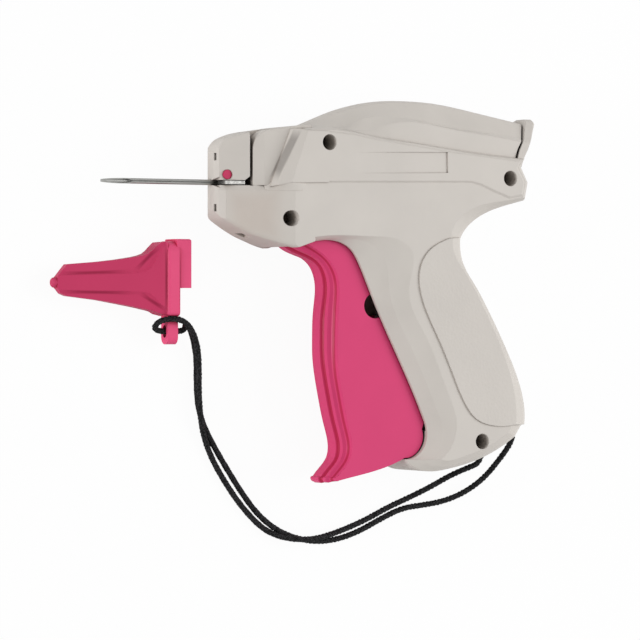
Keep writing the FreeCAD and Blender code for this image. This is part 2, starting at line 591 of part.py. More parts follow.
def outer_half():
    """The outside of one half of the housing, on the upper side of the parting plane."""
    body = [
        between(smooth_wire(BODY_EDGE_SHARES, 0), smooth_wire(BODY_EDGE_SHARES, EDGE_LEVEL)),
        between(smooth_wire(BODY_EDGE_SHARES, EDGE_LEVEL),
                smooth_wire(BODY_SHOULDER_SHARES, SHOULDER_LEVEL)),
        between(smooth_wire(BODY_SHOULDER_SHARES, SHOULDER_LEVEL),
                smooth_wire(BODY_FLANK_SHARES, FLANK_LEVEL)),
        between(corner_wire(UPPER_FLANK_LOW_SHARES, EDGE_LEVEL),
                corner_wire(UPPER_FLANK_LOW_SHARES, FLANK_LEVEL)),
        between(corner_wire(UPPER_FLANK_LOW_SHARES, FLANK_LEVEL),
                corner_wire(UPPER_FLANK_HIGH_SHARES, UPPER_FLANK_LEVEL)),
    ]
    hump_levels = [
        (HUMP_CROWN_SHARES, 0), (HUMP_CROWN_SHARES, CROWN_HALF), (HUMP_ROUND_SHARES, CROWN_ROUND_LEVEL),
        (HUMP_UPPER_SHARES, HUMP_UPPER_LEVEL), (HUMP_LOWER_SHARES, HUMP_LOWER_LEVEL),
        (HUMP_FOOT_SHARES, HUMP_FOOT_LEVEL),
    ]
    hump = []
    for (low, low_level), (high, high_level) in zip(hump_levels, hump_levels[1:]):
        hump.append(between(hump_wire(low, low_level), hump_wire(high, high_level)))
    hump = joined(hump)
    hump = hump.cut(slab(TAIL_GAP_SHARES, TAIL_GAP_FLOOR, UPPER_FLANK_LEVEL))
    tail_wires = []
    for top, level in zip(TAIL_TOP_SHARES, TAIL_LEVELS):
        tail_wires.append(corner_wire([TAIL_FOOT_SHARES[0]] + top + [TAIL_FOOT_SHARES[1]], level))
    tail = [between(low, high) for low, high in zip(tail_wires, tail_wires[1:])]
    pad = []
    pad_levels = [
        (PAD_TOP_EDGE_SHARES, PAD_END_EDGE_SHARES, PAD_BACK_EDGE_SHARES, 0),
        (PAD_TOP_EDGE_SHARES, PAD_END_EDGE_SHARES, PAD_BACK_EDGE_SHARES, EDGE_LEVEL + PAD_RISE / 2),
        (PAD_TOP_SHOULDER_SHARES, PAD_END_SHOULDER_SHARES, PAD_BACK_SHOULDER_SHARES,
         SHOULDER_LEVEL + PAD_RISE / 2),
        (PAD_TOP_FLANK_SHARES, PAD_END_FLANK_SHARES, PAD_BACK_FLANK_SHARES, FLANK_LEVEL + PAD_RISE),
    ]
    wires = []
    for top, end, back, level in pad_levels:
        wires.append(smooth_wire([top + PAD_FRONT_SHARES + [end], back], level))
    for low, high in zip(wires, wires[1:]):
        pad.append(between(low, high))

    side = Part.Face(smooth_wire(NOSE_SIDE_SHARES, 0)).extrude(Z * UPPER_FLANK_LEVEL)
    upper = plan_solid(NOSE_UPPER_PLAN_SHARES, NOSE_JOIN_SHARE, 0.3).common(side)
    upper_block = plan_solid(BLOCK_PLAN_SHARES, NOSE_JOIN_SHARE, 0.3).common(side)
    lower = plan_solid(NOSE_LOWER_PLAN_SHARES, -0.3, NOSE_STEP_SHARE).common(side)
    turn = plan_turn(NOSE_LOWER_PLAN_SHARES, NOSE_STEP_SHARE, NOSE_TURN_PLAN_SHARES, NOSE_JOIN_SHARE)
    upper = rounded(upper, NOSE_ROUND, NOSE_TOP_SHARES)
    upper_block = rounded(upper_block, NOSE_ROUND, NOSE_TOP_SHARES)
    lower = rounded(lower, CHIN_ROUND, NOSE_CHIN_SHARES)
    ridge = [
        between(corner_wire(RIDGE_LOW_SHARES, 0), corner_wire(RIDGE_LOW_SHARES, RIDGE_LOW_LEVEL)),
        between(corner_wire(RIDGE_LOW_SHARES, RIDGE_LOW_LEVEL),
                corner_wire(RIDGE_MID_SHARES, RIDGE_MID_LEVEL)),
        between(corner_wire(RIDGE_MID_SHARES, RIDGE_MID_LEVEL),
                corner_wire(RIDGE_HIGH_SHARES, UPPER_FLANK_LEVEL)),
    ]
    return joined(body + [hump] + tail + pad + [upper, upper_block, turn, lower] + ridge)


def rounded(shape, radius, corner_shares):
    """Rounds the long outer edges of a nose piece that lie within two corners given as shares."""
    low, high = corner_shares
    chosen = []
    for edge in shape.Edges:
        ends = [vertex.Point for vertex in edge.Vertexes]
        if len(ends) != 2:
            continue
        inside = True
        for point in ends:
            if not low[0] * SPAN < point.x < high[0] * SPAN:
                inside = False
            if not low[1] * SPAN < point.y < high[1] * SPAN:
                inside = False
            if point.z < CROWN_HALF:
                inside = False
        if inside and abs(ends[0].x - ends[1].x) > NOSE_ROUND / 2:
            chosen.append(edge)
    return shape.makeFillet(radius, chosen)


def inner_cuts():
    """The cavities of one half of the housing."""
    cuts = [
        slab(TRIGGER_BAY_SHARES, -1, TRIGGER_BAY_HALF),
        slab(BODY_BAY_SHARES, -1, BODY_BAY_HALF),
        slab(HANDLE_BAY_SHARES, -1, BODY_BAY_HALF),
        slab(ARM_BAY_SHARES, -1, ARM_BAY_HALF),
        slab(HUMP_BAY_SHARES, -1, HUMP_BAY_HALF),
        block(FEED_BAY_SHARES[0], FEED_BAY_SHARES[1], -1, LATCH_BAY_HALF),
        block(GUIDE_BAY_SHARES[0], GUIDE_BAY_SHARES[1], -1, GUIDE_BAY_HALF),
    ]
    return joined(cuts)


def inner_ribs():
    """Rails, bosses and the pivot tongue that stand in the cavity."""
    rail_start, rail_end = RAIL_SHARES
    low_rail = -CARRIAGE_LOW - RAIL_GAP
    high_rail = carriage_high() + RAIL_GAP
    ribs = [
        block((rail_start, (low_rail - RAIL_THICKNESS) / SPAN), (rail_end, low_rail / SPAN),
              CARRIAGE_FORK_HALF + 0.8, BODY_BAY_HALF + 0.3),
        block((rail_start, high_rail / SPAN), (rail_end, (high_rail + RAIL_THICKNESS) / SPAN),
              CARRIAGE_FORK_HALF + 0.8, BODY_BAY_HALF + 0.1),
        block((rail_start, WALL_RAIL_SHARES[0]), (rail_end, WALL_RAIL_SHARES[1]), CARRIAGE_HALF + RAIL_GAP,
              BODY_BAY_HALF + 0.3),
        post(FULCRUM_SHARES, FULCRUM_BOSS_RADIUS, LEVER_HALF + FULCRUM_BOSS_GAP, BODY_BAY_HALF + 0.3),
        post(TRIGGER_PIVOT_SHARES, TONGUE_RADIUS, 0, TONGUE_HALF),
        slab(TONGUE_SHARES, 0, TONGUE_HALF),
    ]
    for share in SCREW_SHARES:
        ribs.append(post(share, BOSS_RADIUS, 0, EDGE_LEVEL + 1))
    return ribs


def half_shell():
    """One half of the housing, with its cavity, ribs and bosses, before the single features."""
    shell = outer_half().cut(inner_cuts())
    shell = joined([shell] + inner_ribs())
    slot_x = NOSE_UPPER_PLAN_SHARES[3][0]
    slot_end = slot_x + FEED_SLOT / SPAN
    passage = block((slot_x, -0.30), (slot_end, 0.30), -1, FEED_EXIT_HALF)
    notch = block((slot_x - 0.02, -0.30), (slot_end + 0.02, -0.195 + FEED_EXIT_DEPTH / SPAN),
                  -1, FEED_EXIT_HALF)
    rod_way = Part.makeCylinder(4 * ROD_RADIUS, 0.12 * SPAN, spot((0.29, 0), 0), X)
    fulcrum = post(FULCRUM_SHARES, PIVOT_PIN_RADIUS, 0, TRIGGER_BAY_HALF)
    pivot = post(TRIGGER_PIVOT_SHARES, PIVOT_PIN_RADIUS, -1, TONGUE_HALF + 1)
    axle = post(WHEEL_SHARES, AXLE_RADIUS, -1, 2 * WHEEL_HALF + 1)
    lock = post(LOCK_SHARES[0], LOCK_PIN_RADIUS + RUN_CLEARANCE, -1, UPPER_FLANK_LEVEL)
    groove = Part.makeCylinder(CHANNEL_HALF, 0.14 * SPAN, spot((-0.02, 0), 0), X)
    cuts = [passage, notch, rod_way, fulcrum, pivot, axle, lock, groove]
    cuts.append(spring_seat())
    return shell.cut(cuts[0].multiFuse(cuts[1:]))


def cord_tunnel():
    """The crooked hole for the lanyard through the heel of the handle."""
    shares = [CORD_MOUTH_BACK_SHARES, CORD_CORNER_SHARES, CORD_MOUTH_LOW_SHARES]
    points = [level_point(share) for share in shares]
    pieces = [tube(points, CORD_HOLE_RADIUS)[0]]
    for end in (points[0], points[2]):
        way = end - points[1]
        pieces.append(Part.makeCylinder(CORD_HOLE_RADIUS, way.Length, end - way * 0.1, way))
    return joined(pieces)


def spring_seat():
    """The round pocket in the back of the handle that holds the end of the return spring."""
    start = spot(SPRING_SHARES[1], 0)
    start.x = start.x - SPRING_RADIUS
    return Part.makeCylinder(SPRING_RADIUS + 2 * SPRING_WIRE_RADIUS, SPRING_RADIUS + SPRING_WIRE_RADIUS, start, X)


def left_housing_and_jaw():
    """The near half, open to the side at the feed slot, and the jaw of the nose that it leaves free."""
    shell = half_shell()
    slot_x = NOSE_UPPER_PLAN_SHARES[3][0]
    slot_end = slot_x + FEED_SLOT / SPAN
    cuts = [
        block((slot_x, -0.012), (slot_end, 0.30), -1, UPPER_FLANK_LEVEL + 1),
        block((-0.03, -CHANNEL_HALF / SPAN), (slot_end, CHANNEL_HALF / SPAN * 0.75), 0, UPPER_FLANK_LEVEL),
        slab(SLOT_VEE_SHARES, 0, UPPER_FLANK_LEVEL),
    ]
    vee = [FreeCAD.Vector(-0.02 * SPAN, a * SPAN, b * SPAN) for a, b in FRONT_VEE_SHARES]
    vee = Part.Face(Part.makePolygon(vee + [vee[0]]))
    cuts.append(vee.extrude(FreeCAD.Vector(0.024 * SPAN, 0, 0)))
    for share in SLOT_MARK_SHARES:
        corner = spot(share, 2.4)
        corner.x = corner.x - 0.02 * SPAN
        corner.y = corner.y - SLOT_MARK_HEIGHT / 2
        mark = Part.makeBox(0.03 * SPAN, SLOT_MARK_HEIGHT, SLOT_MARK_WIDTH, corner)
        cuts.append(mark)
    funnel_box = block((slot_end - 0.001, FUNNEL_BASE_SHARE), (slot_end + FUNNEL_RADIUS / SPAN, 0.24),
                       FUNNEL_FLOOR, UPPER_FLANK_LEVEL)
    arc_share = (slot_end + FUNNEL_RADIUS / SPAN, FUNNEL_BASE_SHARE)
    keep = post(arc_share, FUNNEL_RADIUS, FUNNEL_FLOOR - 1, UPPER_FLANK_LEVEL + 1)
    cuts.append(funnel_box.cut(keep))
    for share in SCREW_SHARES:
        cuts.append(post(share, SCREW_WELL_RADIUS, SCREW_SEAT, UPPER_FLANK_LEVEL + 1))
        cuts.append(post(share, SCREW_RADIUS + 0.1, -1, SCREW_SEAT + 1))
    low, high = LABEL_SHARES
    label = [
        FreeCAD.Vector(low[0] * SPAN, low[1] * SPAN, UPPER_FLANK_LEVEL + 0.02),
        FreeCAD.Vector(high[0] * SPAN, low[1] * SPAN, UPPER_FLANK_LEVEL - LABEL_DEPTH),
        FreeCAD.Vector(high[0] * SPAN, low[1] * SPAN, UPPER_FLANK_LEVEL + 1),
        FreeCAD.Vector(low[0] * SPAN, low[1] * SPAN, UPPER_FLANK_LEVEL + 1),
    ]
    label = Part.Face(Part.makePolygon(label + [label[0]]))
    label = label.extrude(FreeCAD.Vector(0, (high[1] - low[1]) * SPAN, 0))
    cuts.append(turned(label, low, LABEL_TILT))
    cuts.append(cord_tunnel())
    shell = shell.cut(cuts[0].multiFuse(cuts[1:]))
    solids = sorted(shell.Solids, key=lambda solid: solid.Volume)
    return solids[-1], solids[0]


def right_housing(jaw):
    """The far half: closed at the slot, with a pocket for the needle's hub, and the nose's jaw."""
    shell = mirrored(half_shell())
    pocket = block((HUB_SHARES[0][0] - 0.0005, HUB_SHARES[0][1] - 0.0005),
                   (HUB_SHARES[1][0] + 0.0005, HUB_SHARES[1][1] + 0.0005), -5.0, 1)
    cuts = [pocket]
    for share in SCREW_SHARES:
        cuts.append(post(share, SCREW_RADIUS, -SCREW_DEPTH, 1))
    cuts.append(cord_tunnel())
    return joined([shell.cut(cuts[0].multiFuse(cuts[1:])), jaw])


def housing_screws():
    """Four pan-head screws at the bottom of their wells, with a cross recess each."""
    screws = []
    for share in SCREW_SHARES:
        head = post(share, SCREW_HEAD_RADIUS, SCREW_SEAT, SCREW_SEAT + SCREW_HEAD_HEIGHT)
        shank = post(share, SCREW_RADIUS, 1 - SCREW_DEPTH, SCREW_SEAT)
        screw = head.fuse(shank).removeSplitter()
        for degrees in (45, 135):
            bar = block((share[0] - 0.016, share[1] - 0.0035), (share[0] + 0.016, share[1] + 0.0035),
                        SCREW_SEAT + 1, SCREW_SEAT + 3)
            screw = screw.cut(turned(bar, share, degrees))
        screws.append(screw)
    return Part.makeCompound(screws)


def needle():
    """A hollow needle with a slit along its side and a long bevelled point."""
    start = NEEDLE_SHARES[0] * SPAN
    end = NEEDLE_SHARES[1] * SPAN
    base = FreeCAD.Vector(start, 0, 0)
    solid = Part.makeCylinder(NEEDLE_RADIUS, end - start, base, X)
    bore = Part.makeCylinder(NEEDLE_BORE_RADIUS, end - start + 2, base - X, X)
    slit = Part.makeBox(end - start + 2, NEEDLE_SLIT, 2 * NEEDLE_RADIUS,
                        FreeCAD.Vector(start - 1, -NEEDLE_SLIT / 2, 0))
    rise = 2.2 * NEEDLE_RADIUS
    bevel = [
        FreeCAD.Vector(start - 1, -2, -NEEDLE_RADIUS),
        FreeCAD.Vector(start, -2, -NEEDLE_RADIUS + 0.12),
        FreeCAD.Vector(start + 0.6 * NEEDLE_BEVEL_LENGTH, -2, -0.1),
        FreeCAD.Vector(start + NEEDLE_BEVEL_LENGTH, -2, -NEEDLE_RADIUS + rise),
        FreeCAD.Vector(start - 1, -2, -NEEDLE_RADIUS + rise),
    ]
    bevel = Part.Face(Part.makePolygon(bevel + [bevel[0]])).extrude(FreeCAD.Vector(0, 4, 0))
    return solid.cut(bore.multiFuse([slit, bevel]))


def needle_hub():
    """The steel block that the needle is fixed in."""
    hub = block(HUB_SHARES[0], HUB_SHARES[1], -4.9, -0.05)
    start = FreeCAD.Vector((HUB_SHARES[0][0] - 0.01) * SPAN, 0, 0)
    seat = Part.makeCylinder(NEEDLE_RADIUS, 0.13 * SPAN, start, X)
    lock = post(LOCK_SHARES[0], LOCK_PIN_RADIUS + 2 * RUN_CLEARANCE, -6, 1)
    return hub.cut(seat.fuse(lock))


def guide_block():
    """The steel guide that carries the push rod up to the feed slot."""
    solid = block(GUIDE_SHARES[0], GUIDE_SHARES[1], -GUIDE_HALF, GUIDE_HALF)
    start = FreeCAD.Vector((GUIDE_SHARES[0][0] - 0.01) * SPAN, 0, 0)
    bore = Part.makeCylinder(ROD_RADIUS + RUN_CLEARANCE, 0.2 * SPAN, start, X)
    return solid.cut(bore)


def knife():
    """The blade behind the feed slot, pierced for the push rod."""
    front = (GUIDE_SHARES[0][0] - KNIFE_THICKNESS / SPAN, GUIDE_SHARES[0][1])
    solid = block(front, (GUIDE_SHARES[0][0], GUIDE_SHARES[1][1]), -GUIDE_HALF, GUIDE_HALF)
    start = FreeCAD.Vector((front[0] - 0.01) * SPAN, 0, 0)
    bore = Part.makeCylinder(ROD_RADIUS + RUN_CLEARANCE, 0.1 * SPAN, start, X)
    return solid.cut(bore)


def trigger_wire(front_runs, level):
    """The trigger's outline at one level."""
    top = [TRIGGER_REAR_SHARES[1][-1], front_runs[0][0]]
    return smooth_wire(front_runs + TRIGGER_REAR_SHARES + [top], level)


def trigger():
    """A hollow trigger with a stepped front, a side window for the lever's boss and a barrel."""
    levels = []
    for part, level in zip(TRIGGER_FLUTE_SHARES, TRIGGER_FLUTE_LEVELS):
        levels.append((mixed(TRIGGER_SPINE_SHARES, TRIGGER_SIDE_SHARES, part), level))
    levels.append((TRIGGER_SIDE_SHARES, TRIGGER_HALF))
    tiers = []
    for (low, low_level), (high, high_level) in zip(levels, levels[1:]):
        tiers.append(between(trigger_wire(low, low_level), trigger_wire(high, high_level)))
    half = joined(tiers)
    half = half.cut(slab(TRIGGER_HOLLOW_SHARES, -1, TRIGGER_HOLLOW_HALF))
    web = block(SPRING_WEB_SHARES[0], SPRING_WEB_SHARES[1], 0, TRIGGER_HOLLOW_HALF + 1)
    stud = post((0, 0), SPRING_RADIUS - 2 * SPRING_WIRE_RADIUS, -SPRING_RADIUS, SPRING_RADIUS)
    stud.rotate(FreeCAD.Vector(0, 0, 0), FreeCAD.Vector(0, 1, 0), 90)
    stud.translate(spot((SPRING_WEB_SHARES[1][0], SPRING_SHARES[0][1]), 0))
    half = joined([half, web, stud.common(Part.makeBox(SPAN, SPAN, SPAN, spot((0.5, -1.0), 0)))])
    window = post(WINDOW_SHARES[0], WINDOW_RADIUS, 0, TRIGGER_HALF + 1)
    rise = WINDOW_RADIUS / SPAN
    for front, rear in zip(WINDOW_SHARES, WINDOW_SHARES[1:]):
        way = slab([
            (front[0], front[1] - rise), (rear[0], rear[1] - rise),
            (rear[0], rear[1] + rise), (front[0], front[1] + rise),
        ], 0, TRIGGER_HALF + 1)
        window = window.fuse(way)
    half = half.cut(window)
    solid = joined([half, mirrored(half)])
    pivot = post(TRIGGER_PIVOT_SHARES, PIVOT_PIN_RADIUS + RUN_CLEARANCE,
                 -TRIGGER_HALF - 1, TRIGGER_HALF - 1.2)
    pin = post(drive_pin_share(), PIN_RADIUS, -TRIGGER_HALF - 1, TRIGGER_HALF - 1.2)
    return solid.cut(pivot.fuse(pin))


def lever_line():
    """The unit direction, in shares, from the trigger's pivot to the lever's fulcrum."""
    dx = FULCRUM_SHARES[0] - TRIGGER_PIVOT_SHARES[0]
    dy = FULCRUM_SHARES[1] - TRIGGER_PIVOT_SHARES[1]
    length = math.hypot(dx, dy)
    return (dx / length, dy / length)


def drive_pin_share():
    """Where the drive pin is with the trigger at rest."""
    ux, uy = lever_line()
    middle = (FULCRUM_SHARES[0] - ux * LEVER_SHORT_ARM / SPAN,
              FULCRUM_SHARES[1] - uy * LEVER_SHORT_ARM / SPAN)
    return swung(middle, TRIGGER_PIVOT_SHARES, TRIGGER_SWING / 2)


def tip_pin_share():
    """Where the lever's upper pin is with the trigger at rest."""
    ux, uy = lever_line()
    middle = (FULCRUM_SHARES[0] + ux * lever_long_arm() / SPAN,
              FULCRUM_SHARES[1] + uy * lever_long_arm() / SPAN)
    return swung(middle, FULCRUM_SHARES, -LEVER_SWING / 2)


def lever_long_arm():
    """The lever's long arm, from the fulcrum up to its highest reach above the needle's axis."""
    return LEVER_TIP_RISE - FULCRUM_SHARES[1] * SPAN


def carriage_high():
    """The carriage's top above the needle's axis, clear of the lever's tip."""
    return LEVER_TIP_RISE + LEVER_TIP_RADIUS + CARRIAGE_HEAD


def drive_lever():
    """The two-armed lever: a slotted short arm below the fulcrum, a long arm above it."""
    hub = FULCRUM_SHARES
    tip = (hub[0], hub[1] + lever_long_arm() / SPAN)
    foot = (hub[0], hub[1] - (LEVER_SHORT_ARM + 1.1 * PIN_RADIUS) / SPAN)
    slot_top = (hub[0], hub[1] - (LEVER_SHORT_ARM - 0.8 * PIN_RADIUS) / SPAN)
    tip_side = LEVER_TIP_HALF / SPAN
    arm_side = LEVER_ARM_HALF / SPAN
    foot_side = LEVER_FOOT_RADIUS / SPAN
    solid = joined([
        post(hub, LEVER_HUB_RADIUS, -LEVER_HALF, LEVER_HALF),
        post(tip, LEVER_TIP_RADIUS, -LEVER_HALF, LEVER_HALF),
        post(foot, LEVER_FOOT_RADIUS, -LEVER_HALF, LEVER_HALF),
        slab([(hub[0] - arm_side, hub[1]), (hub[0] + arm_side, hub[1]), (tip[0] + tip_side, tip[1]),
              (tip[0] - tip_side, tip[1])], -LEVER_HALF, LEVER_HALF),
        slab([(foot[0] - foot_side, foot[1]), (foot[0] + foot_side, foot[1]),
              (hub[0] + foot_side, hub[1]), (hub[0] - foot_side, hub[1])], -LEVER_HALF, LEVER_HALF),
    ])
    half_slot = LEVER_SLOT_HALF / SPAN
    cuts = [
        post(hub, PIVOT_PIN_RADIUS + RUN_CLEARANCE, -TRIGGER_HALF, TRIGGER_HALF),
        post(tip, PIN_RADIUS, -TRIGGER_HALF, TRIGGER_HALF),
        post(slot_top, LEVER_SLOT_HALF, -TRIGGER_HALF, TRIGGER_HALF),
        post(foot, LEVER_SLOT_HALF, -TRIGGER_HALF, TRIGGER_HALF),
        block((foot[0] - half_slot, foot[1]), (foot[0] + half_slot, slot_top[1]),
              -TRIGGER_HALF, TRIGGER_HALF),
        block((hub[0] - LEVER_WINDOW_SHARES[0], hub[1] + LEVER_WINDOW_SHARES[1]),
              (hub[0] + LEVER_WINDOW_SHARES[0], hub[1] + LEVER_WINDOW_SHARES[2]),
              -TRIGGER_HALF, TRIGGER_HALF),
    ]
    solid = solid.cut(cuts[0].multiFuse(cuts[1:]))
    ux, uy = lever_line()
    tilt = math.degrees(math.atan2(uy, ux)) - 90
    return turned(solid, hub, tilt - LEVER_SWING / 2)


def carriage():
    """The slide block: a fork round the lever with a tall slot for the lever's upper pin."""
    centre = tip_pin_share()
    half = CARRIAGE_LENGTH / 2 / SPAN
    x0 = centre[0] - half
    x1 = centre[0] + half
    low = -CARRIAGE_LOW / SPAN
    high = carriage_high() / SPAN
    wall = CARRIAGE_WALL / SPAN
    past = CARRIAGE_HALF / SPAN
    solid = block((x0, low), (x1, high), -CARRIAGE_HALF, CARRIAGE_HALF)
    nose = Part.makeCylinder(ROD_SOCKET_RADIUS, ROD_SOCKET_LENGTH + CARRIAGE_WALL,
                             spot((x0 - ROD_SOCKET_LENGTH / SPAN, 0), 0), X)
    solid = joined([solid, nose])
    pin_low = centre[1]
    pin_high = FULCRUM_SHARES[1] + lever_long_arm() / SPAN
    half_slot = CARRIAGE_SLOT_HALF / SPAN
    cuts = [
        block((x0 + wall, low - past), (x1 + past, high - wall / 2), -CARRIAGE_FORK_HALF, CARRIAGE_FORK_HALF),
        block((x0 - past, low - past), (x0 + 2 * wall, -CARRIAGE_SILL / SPAN),
              -CARRIAGE_FORK_HALF, CARRIAGE_FORK_HALF),
        post((centre[0], pin_low), CARRIAGE_SLOT_HALF, -2 * CARRIAGE_HALF, 2 * CARRIAGE_HALF),
        post((centre[0], pin_high), CARRIAGE_SLOT_HALF, -2 * CARRIAGE_HALF, 2 * CARRIAGE_HALF),
        block((centre[0] - half_slot, pin_low), (centre[0] + half_slot, pin_high),
              -2 * CARRIAGE_HALF, 2 * CARRIAGE_HALF),
        Part.makeCylinder(ROD_RADIUS, ROD_SOCKET_LENGTH + CARRIAGE_WALL + 1,
                          spot((x0 - ROD_SOCKET_LENGTH / SPAN - 0.005, 0), 0), X),
    ]
    return solid.cut(cuts[0].multiFuse(cuts[1:]))


def push_rod():
    """The slim rod that pushes the fastener through the needle."""
    end = tip_pin_share()[0] * SPAN - CARRIAGE_LENGTH / 2 + 0.9 * CARRIAGE_WALL
    start = ROD_TIP_SHARE * SPAN
    return Part.makeCylinder(ROD_RADIUS, end - start, FreeCAD.Vector(start, 0, 0), X)


def feed_wheel():
    """The toothed wheel that feeds the fasteners along the slot."""
    shares = []
    outer = WHEEL_RADIUS / SPAN
    inner = (WHEEL_RADIUS - WHEEL_TOOTH_DEPTH) / SPAN
    for tooth in range(WHEEL_TEETH):
        for part, reach in ((0.0, inner), (0.15, outer), (0.35, outer), (0.95, inner)):
            angle = 2 * math.pi * (tooth + part) / WHEEL_TEETH
            shares.append((WHEEL_SHARES[0] + reach * math.cos(angle),
                           WHEEL_SHARES[1] + reach * math.sin(angle)))
    wheel = slab(shares, -WHEEL_HALF, WHEEL_HALF)
    return wheel.cut(post(WHEEL_SHARES, AXLE_RADIUS + RUN_CLEARANCE, -5, 5))


def needle_lock():
    """The lock lever on the far side; its round pin comes through to the near side."""
    side = LOCK_ARM_HALF / SPAN
    axis_y = LOCK_SHARES[0][1]
    pieces = [
        post(LOCK_SHARES[0], LOCK_PIN_RADIUS, -LOCK_PIN_FAR, LOCK_PIN_TOP),
        plan_solid(LOCK_ARM_SHARES, axis_y - side, axis_y + side),
        post(LOCK_SHARES[1], LOCK_TAB_RADIUS, -LOCK_TAB_FAR, -LOCK_TAB_NEAR),
    ]
    return joined(pieces)


def return_spring():
    """The coil between the trigger and the back of the handle."""
    start = spot(SPRING_SHARES[0], 0)
    end = spot(SPRING_SHARES[1], 0)
    length = end.x - start.x - 2 * SPRING_WIRE_RADIUS
    helix = Part.makeHelix(SPRING_PITCH, length, SPRING_RADIUS)
    helix.rotate(FreeCAD.Vector(0, 0, 0), FreeCAD.Vector(0, 1, 0), 90)
    helix.translate(start + X * SPRING_WIRE_RADIUS)
    first = helix.Vertexes[0].Point
    edge = helix.Edges[0]
    tangent = edge.tangentAt(edge.FirstParameter)
    ring = Part.Wire([Part.makeCircle(SPRING_WIRE_RADIUS, first, tangent)])
    return Part.Wire(helix.Edges).makePipeShell([ring], True, True)


def cap_section(row):
    """One section of the cap, square to its axis, with a panel that stands proud on each side."""
    station, top, upper, lower, bottom, half, flat = row
    step = min(CAP_PANEL_STEP / SPAN, (top - upper) / 4, (lower - bottom) / 4)
    rise = step * CAP_PANEL_RISE / CAP_PANEL_STEP
    outline = [
        (top, flat), (upper + step, half - rise), (upper, half),
        (lower, half), (lower - step, half - rise), (bottom, flat),
        (bottom, -flat), (lower - step, rise - half), (lower, -half),
        (upper, -half), (upper + step, rise - half), (top, -flat),
    ]
    points = [FreeCAD.Vector(station * SPAN, y * SPAN, z * SPAN - CAP_DEPTH) for y, z in outline]
    return Part.makePolygon(points + [points[0]])


def cap_box(shares, half):
    """A box on the cap's axis between two corners given as shares."""
    low, high = shares
    return block(low, high, -half - CAP_DEPTH, half - CAP_DEPTH)


def needle_cap():
    """The tapered cap with its flange, its collar for the nose and its lug for the cord."""
    sections = [cap_section(row) for row in CAP_SECTION_SHARES]
    solids = [between(low, high) for low, high in zip(sections, sections[1:])]
    axis_y = CAP_AXIS_SHARE * SPAN
    tip = FreeCAD.Vector(CAP_TIP_SHARE * SPAN, axis_y, -CAP_DEPTH)
    button = Part.makeCylinder(CAP_BUTTON_RADIUS, CAP_BUTTON_LENGTH, tip, X)
    button = button.makeChamfer(CAP_BUTTON_BEVEL, [button.Edges[2]])
    solids.append(button)
    flange = cap_box(CAP_FLANGE_SHARES, CAP_FLANGE_HALF)
    for radius, upper in ((CAP_FLANGE_CORNER, True), (CAP_FLANGE_HEEL, False)):
        chosen = []
        for edge in flange.Edges:
            ends = [vertex.Point for vertex in edge.Vertexes]
            along = abs(ends[0].x - ends[1].x) > CAP_FLANGE_HEEL
            if along and (ends[0].y > axis_y) == upper:
                chosen.append(edge)
        flange = flange.makeFillet(radius, chosen)
    front = []
    for edge in flange.Edges:
        ends = [vertex.Point for vertex in edge.Vertexes]
        if max(abs(end.x - CAP_FLANGE_SHARES[0][0] * SPAN) for end in ends) < RUN_CLEARANCE:
            front.append(edge)
    solids.append(flange.makeFillet(CAP_FLANGE_ROUND, front))
    collar = cap_box(CAP_COLLAR_SHARES, CAP_COLLAR_HALF)
    collar_edges = []
    for edge in collar.Edges:
        ends = [vertex.Point for vertex in edge.Vertexes]
        if abs(ends[0].x - ends[1].x) > 1 and ends[0].y > CAP_AXIS_SHARE * SPAN:
            collar_edges.append(edge)
        if abs(ends[0].x - ends[1].x) < 0.01 and ends[0].x > CAP_COLLAR_SHARES[1][0] * SPAN - 1:
            if min(ends[0].y, ends[1].y) > CAP_COLLAR_SHARES[1][1] * SPAN - 1:
                collar_edges.append(edge)
    solids.append(collar.makeFillet(CAP_SHELL_ROUND, collar_edges))
    foot, root = CAP_LUG_SHARES
    lug_end = Part.makeCylinder(CAP_LUG_HALF, CAP_LUG_THICKNESS, spot(foot, -CAP_DEPTH), X)
    lug = block((foot[0], foot[1]), (foot[0] + CAP_LUG_THICKNESS / SPAN, root[1]),
                -CAP_LUG_HALF - CAP_DEPTH, CAP_LUG_HALF - CAP_DEPTH)
    solids += [lug_end, lug]
    cap = joined(solids)
    low_x, high_x = CAP_BORE_SHARES
    side = CAP_BORE_HALF / SPAN
    bore = block((low_x, CAP_AXIS_SHARE - side), (high_x, CAP_AXIS_SHARE + side),
                 -CAP_BORE_HALF - CAP_DEPTH, CAP_BORE_HALF - CAP_DEPTH)
    side = CAP_WIDE_BORE_HALF / SPAN
    bore = bore.fuse(block((CAP_WIDE_BORE_SHARE, CAP_AXIS_SHARE - side), (high_x, CAP_AXIS_SHARE + side),
                           -CAP_WIDE_BORE_HALF - CAP_DEPTH, CAP_WIDE_BORE_HALF - CAP_DEPTH))
    wall = CAP_COLLAR_WALL / SPAN
    collar_low = (CAP_FLANGE_SHARES[1][0], CAP_COLLAR_SHARES[0][1] + wall)
    collar_high = (high_x, CAP_COLLAR_SHARES[1][1] - wall)
    inner = CAP_COLLAR_HALF - CAP_COLLAR_WALL
    mouth = block(collar_low, collar_high, -inner - CAP_DEPTH, inner - CAP_DEPTH)
    eye_low, eye_high = CAP_EYE_SHARES
    eye_length = 2 * CAP_LUG_THICKNESS
    eye = block((eye_low[0], eye_low[1]), (eye_low[0] + eye_length / SPAN, eye_high[1]),
                -CAP_EYE_RADIUS - CAP_DEPTH, CAP_EYE_RADIUS - CAP_DEPTH)
    for end in CAP_EYE_SHARES:
        eye = eye.fuse(Part.makeCylinder(CAP_EYE_RADIUS, eye_length, spot(end, -CAP_DEPTH), X))
    return cap.cut(bore.multiFuse([mouth, eye]))


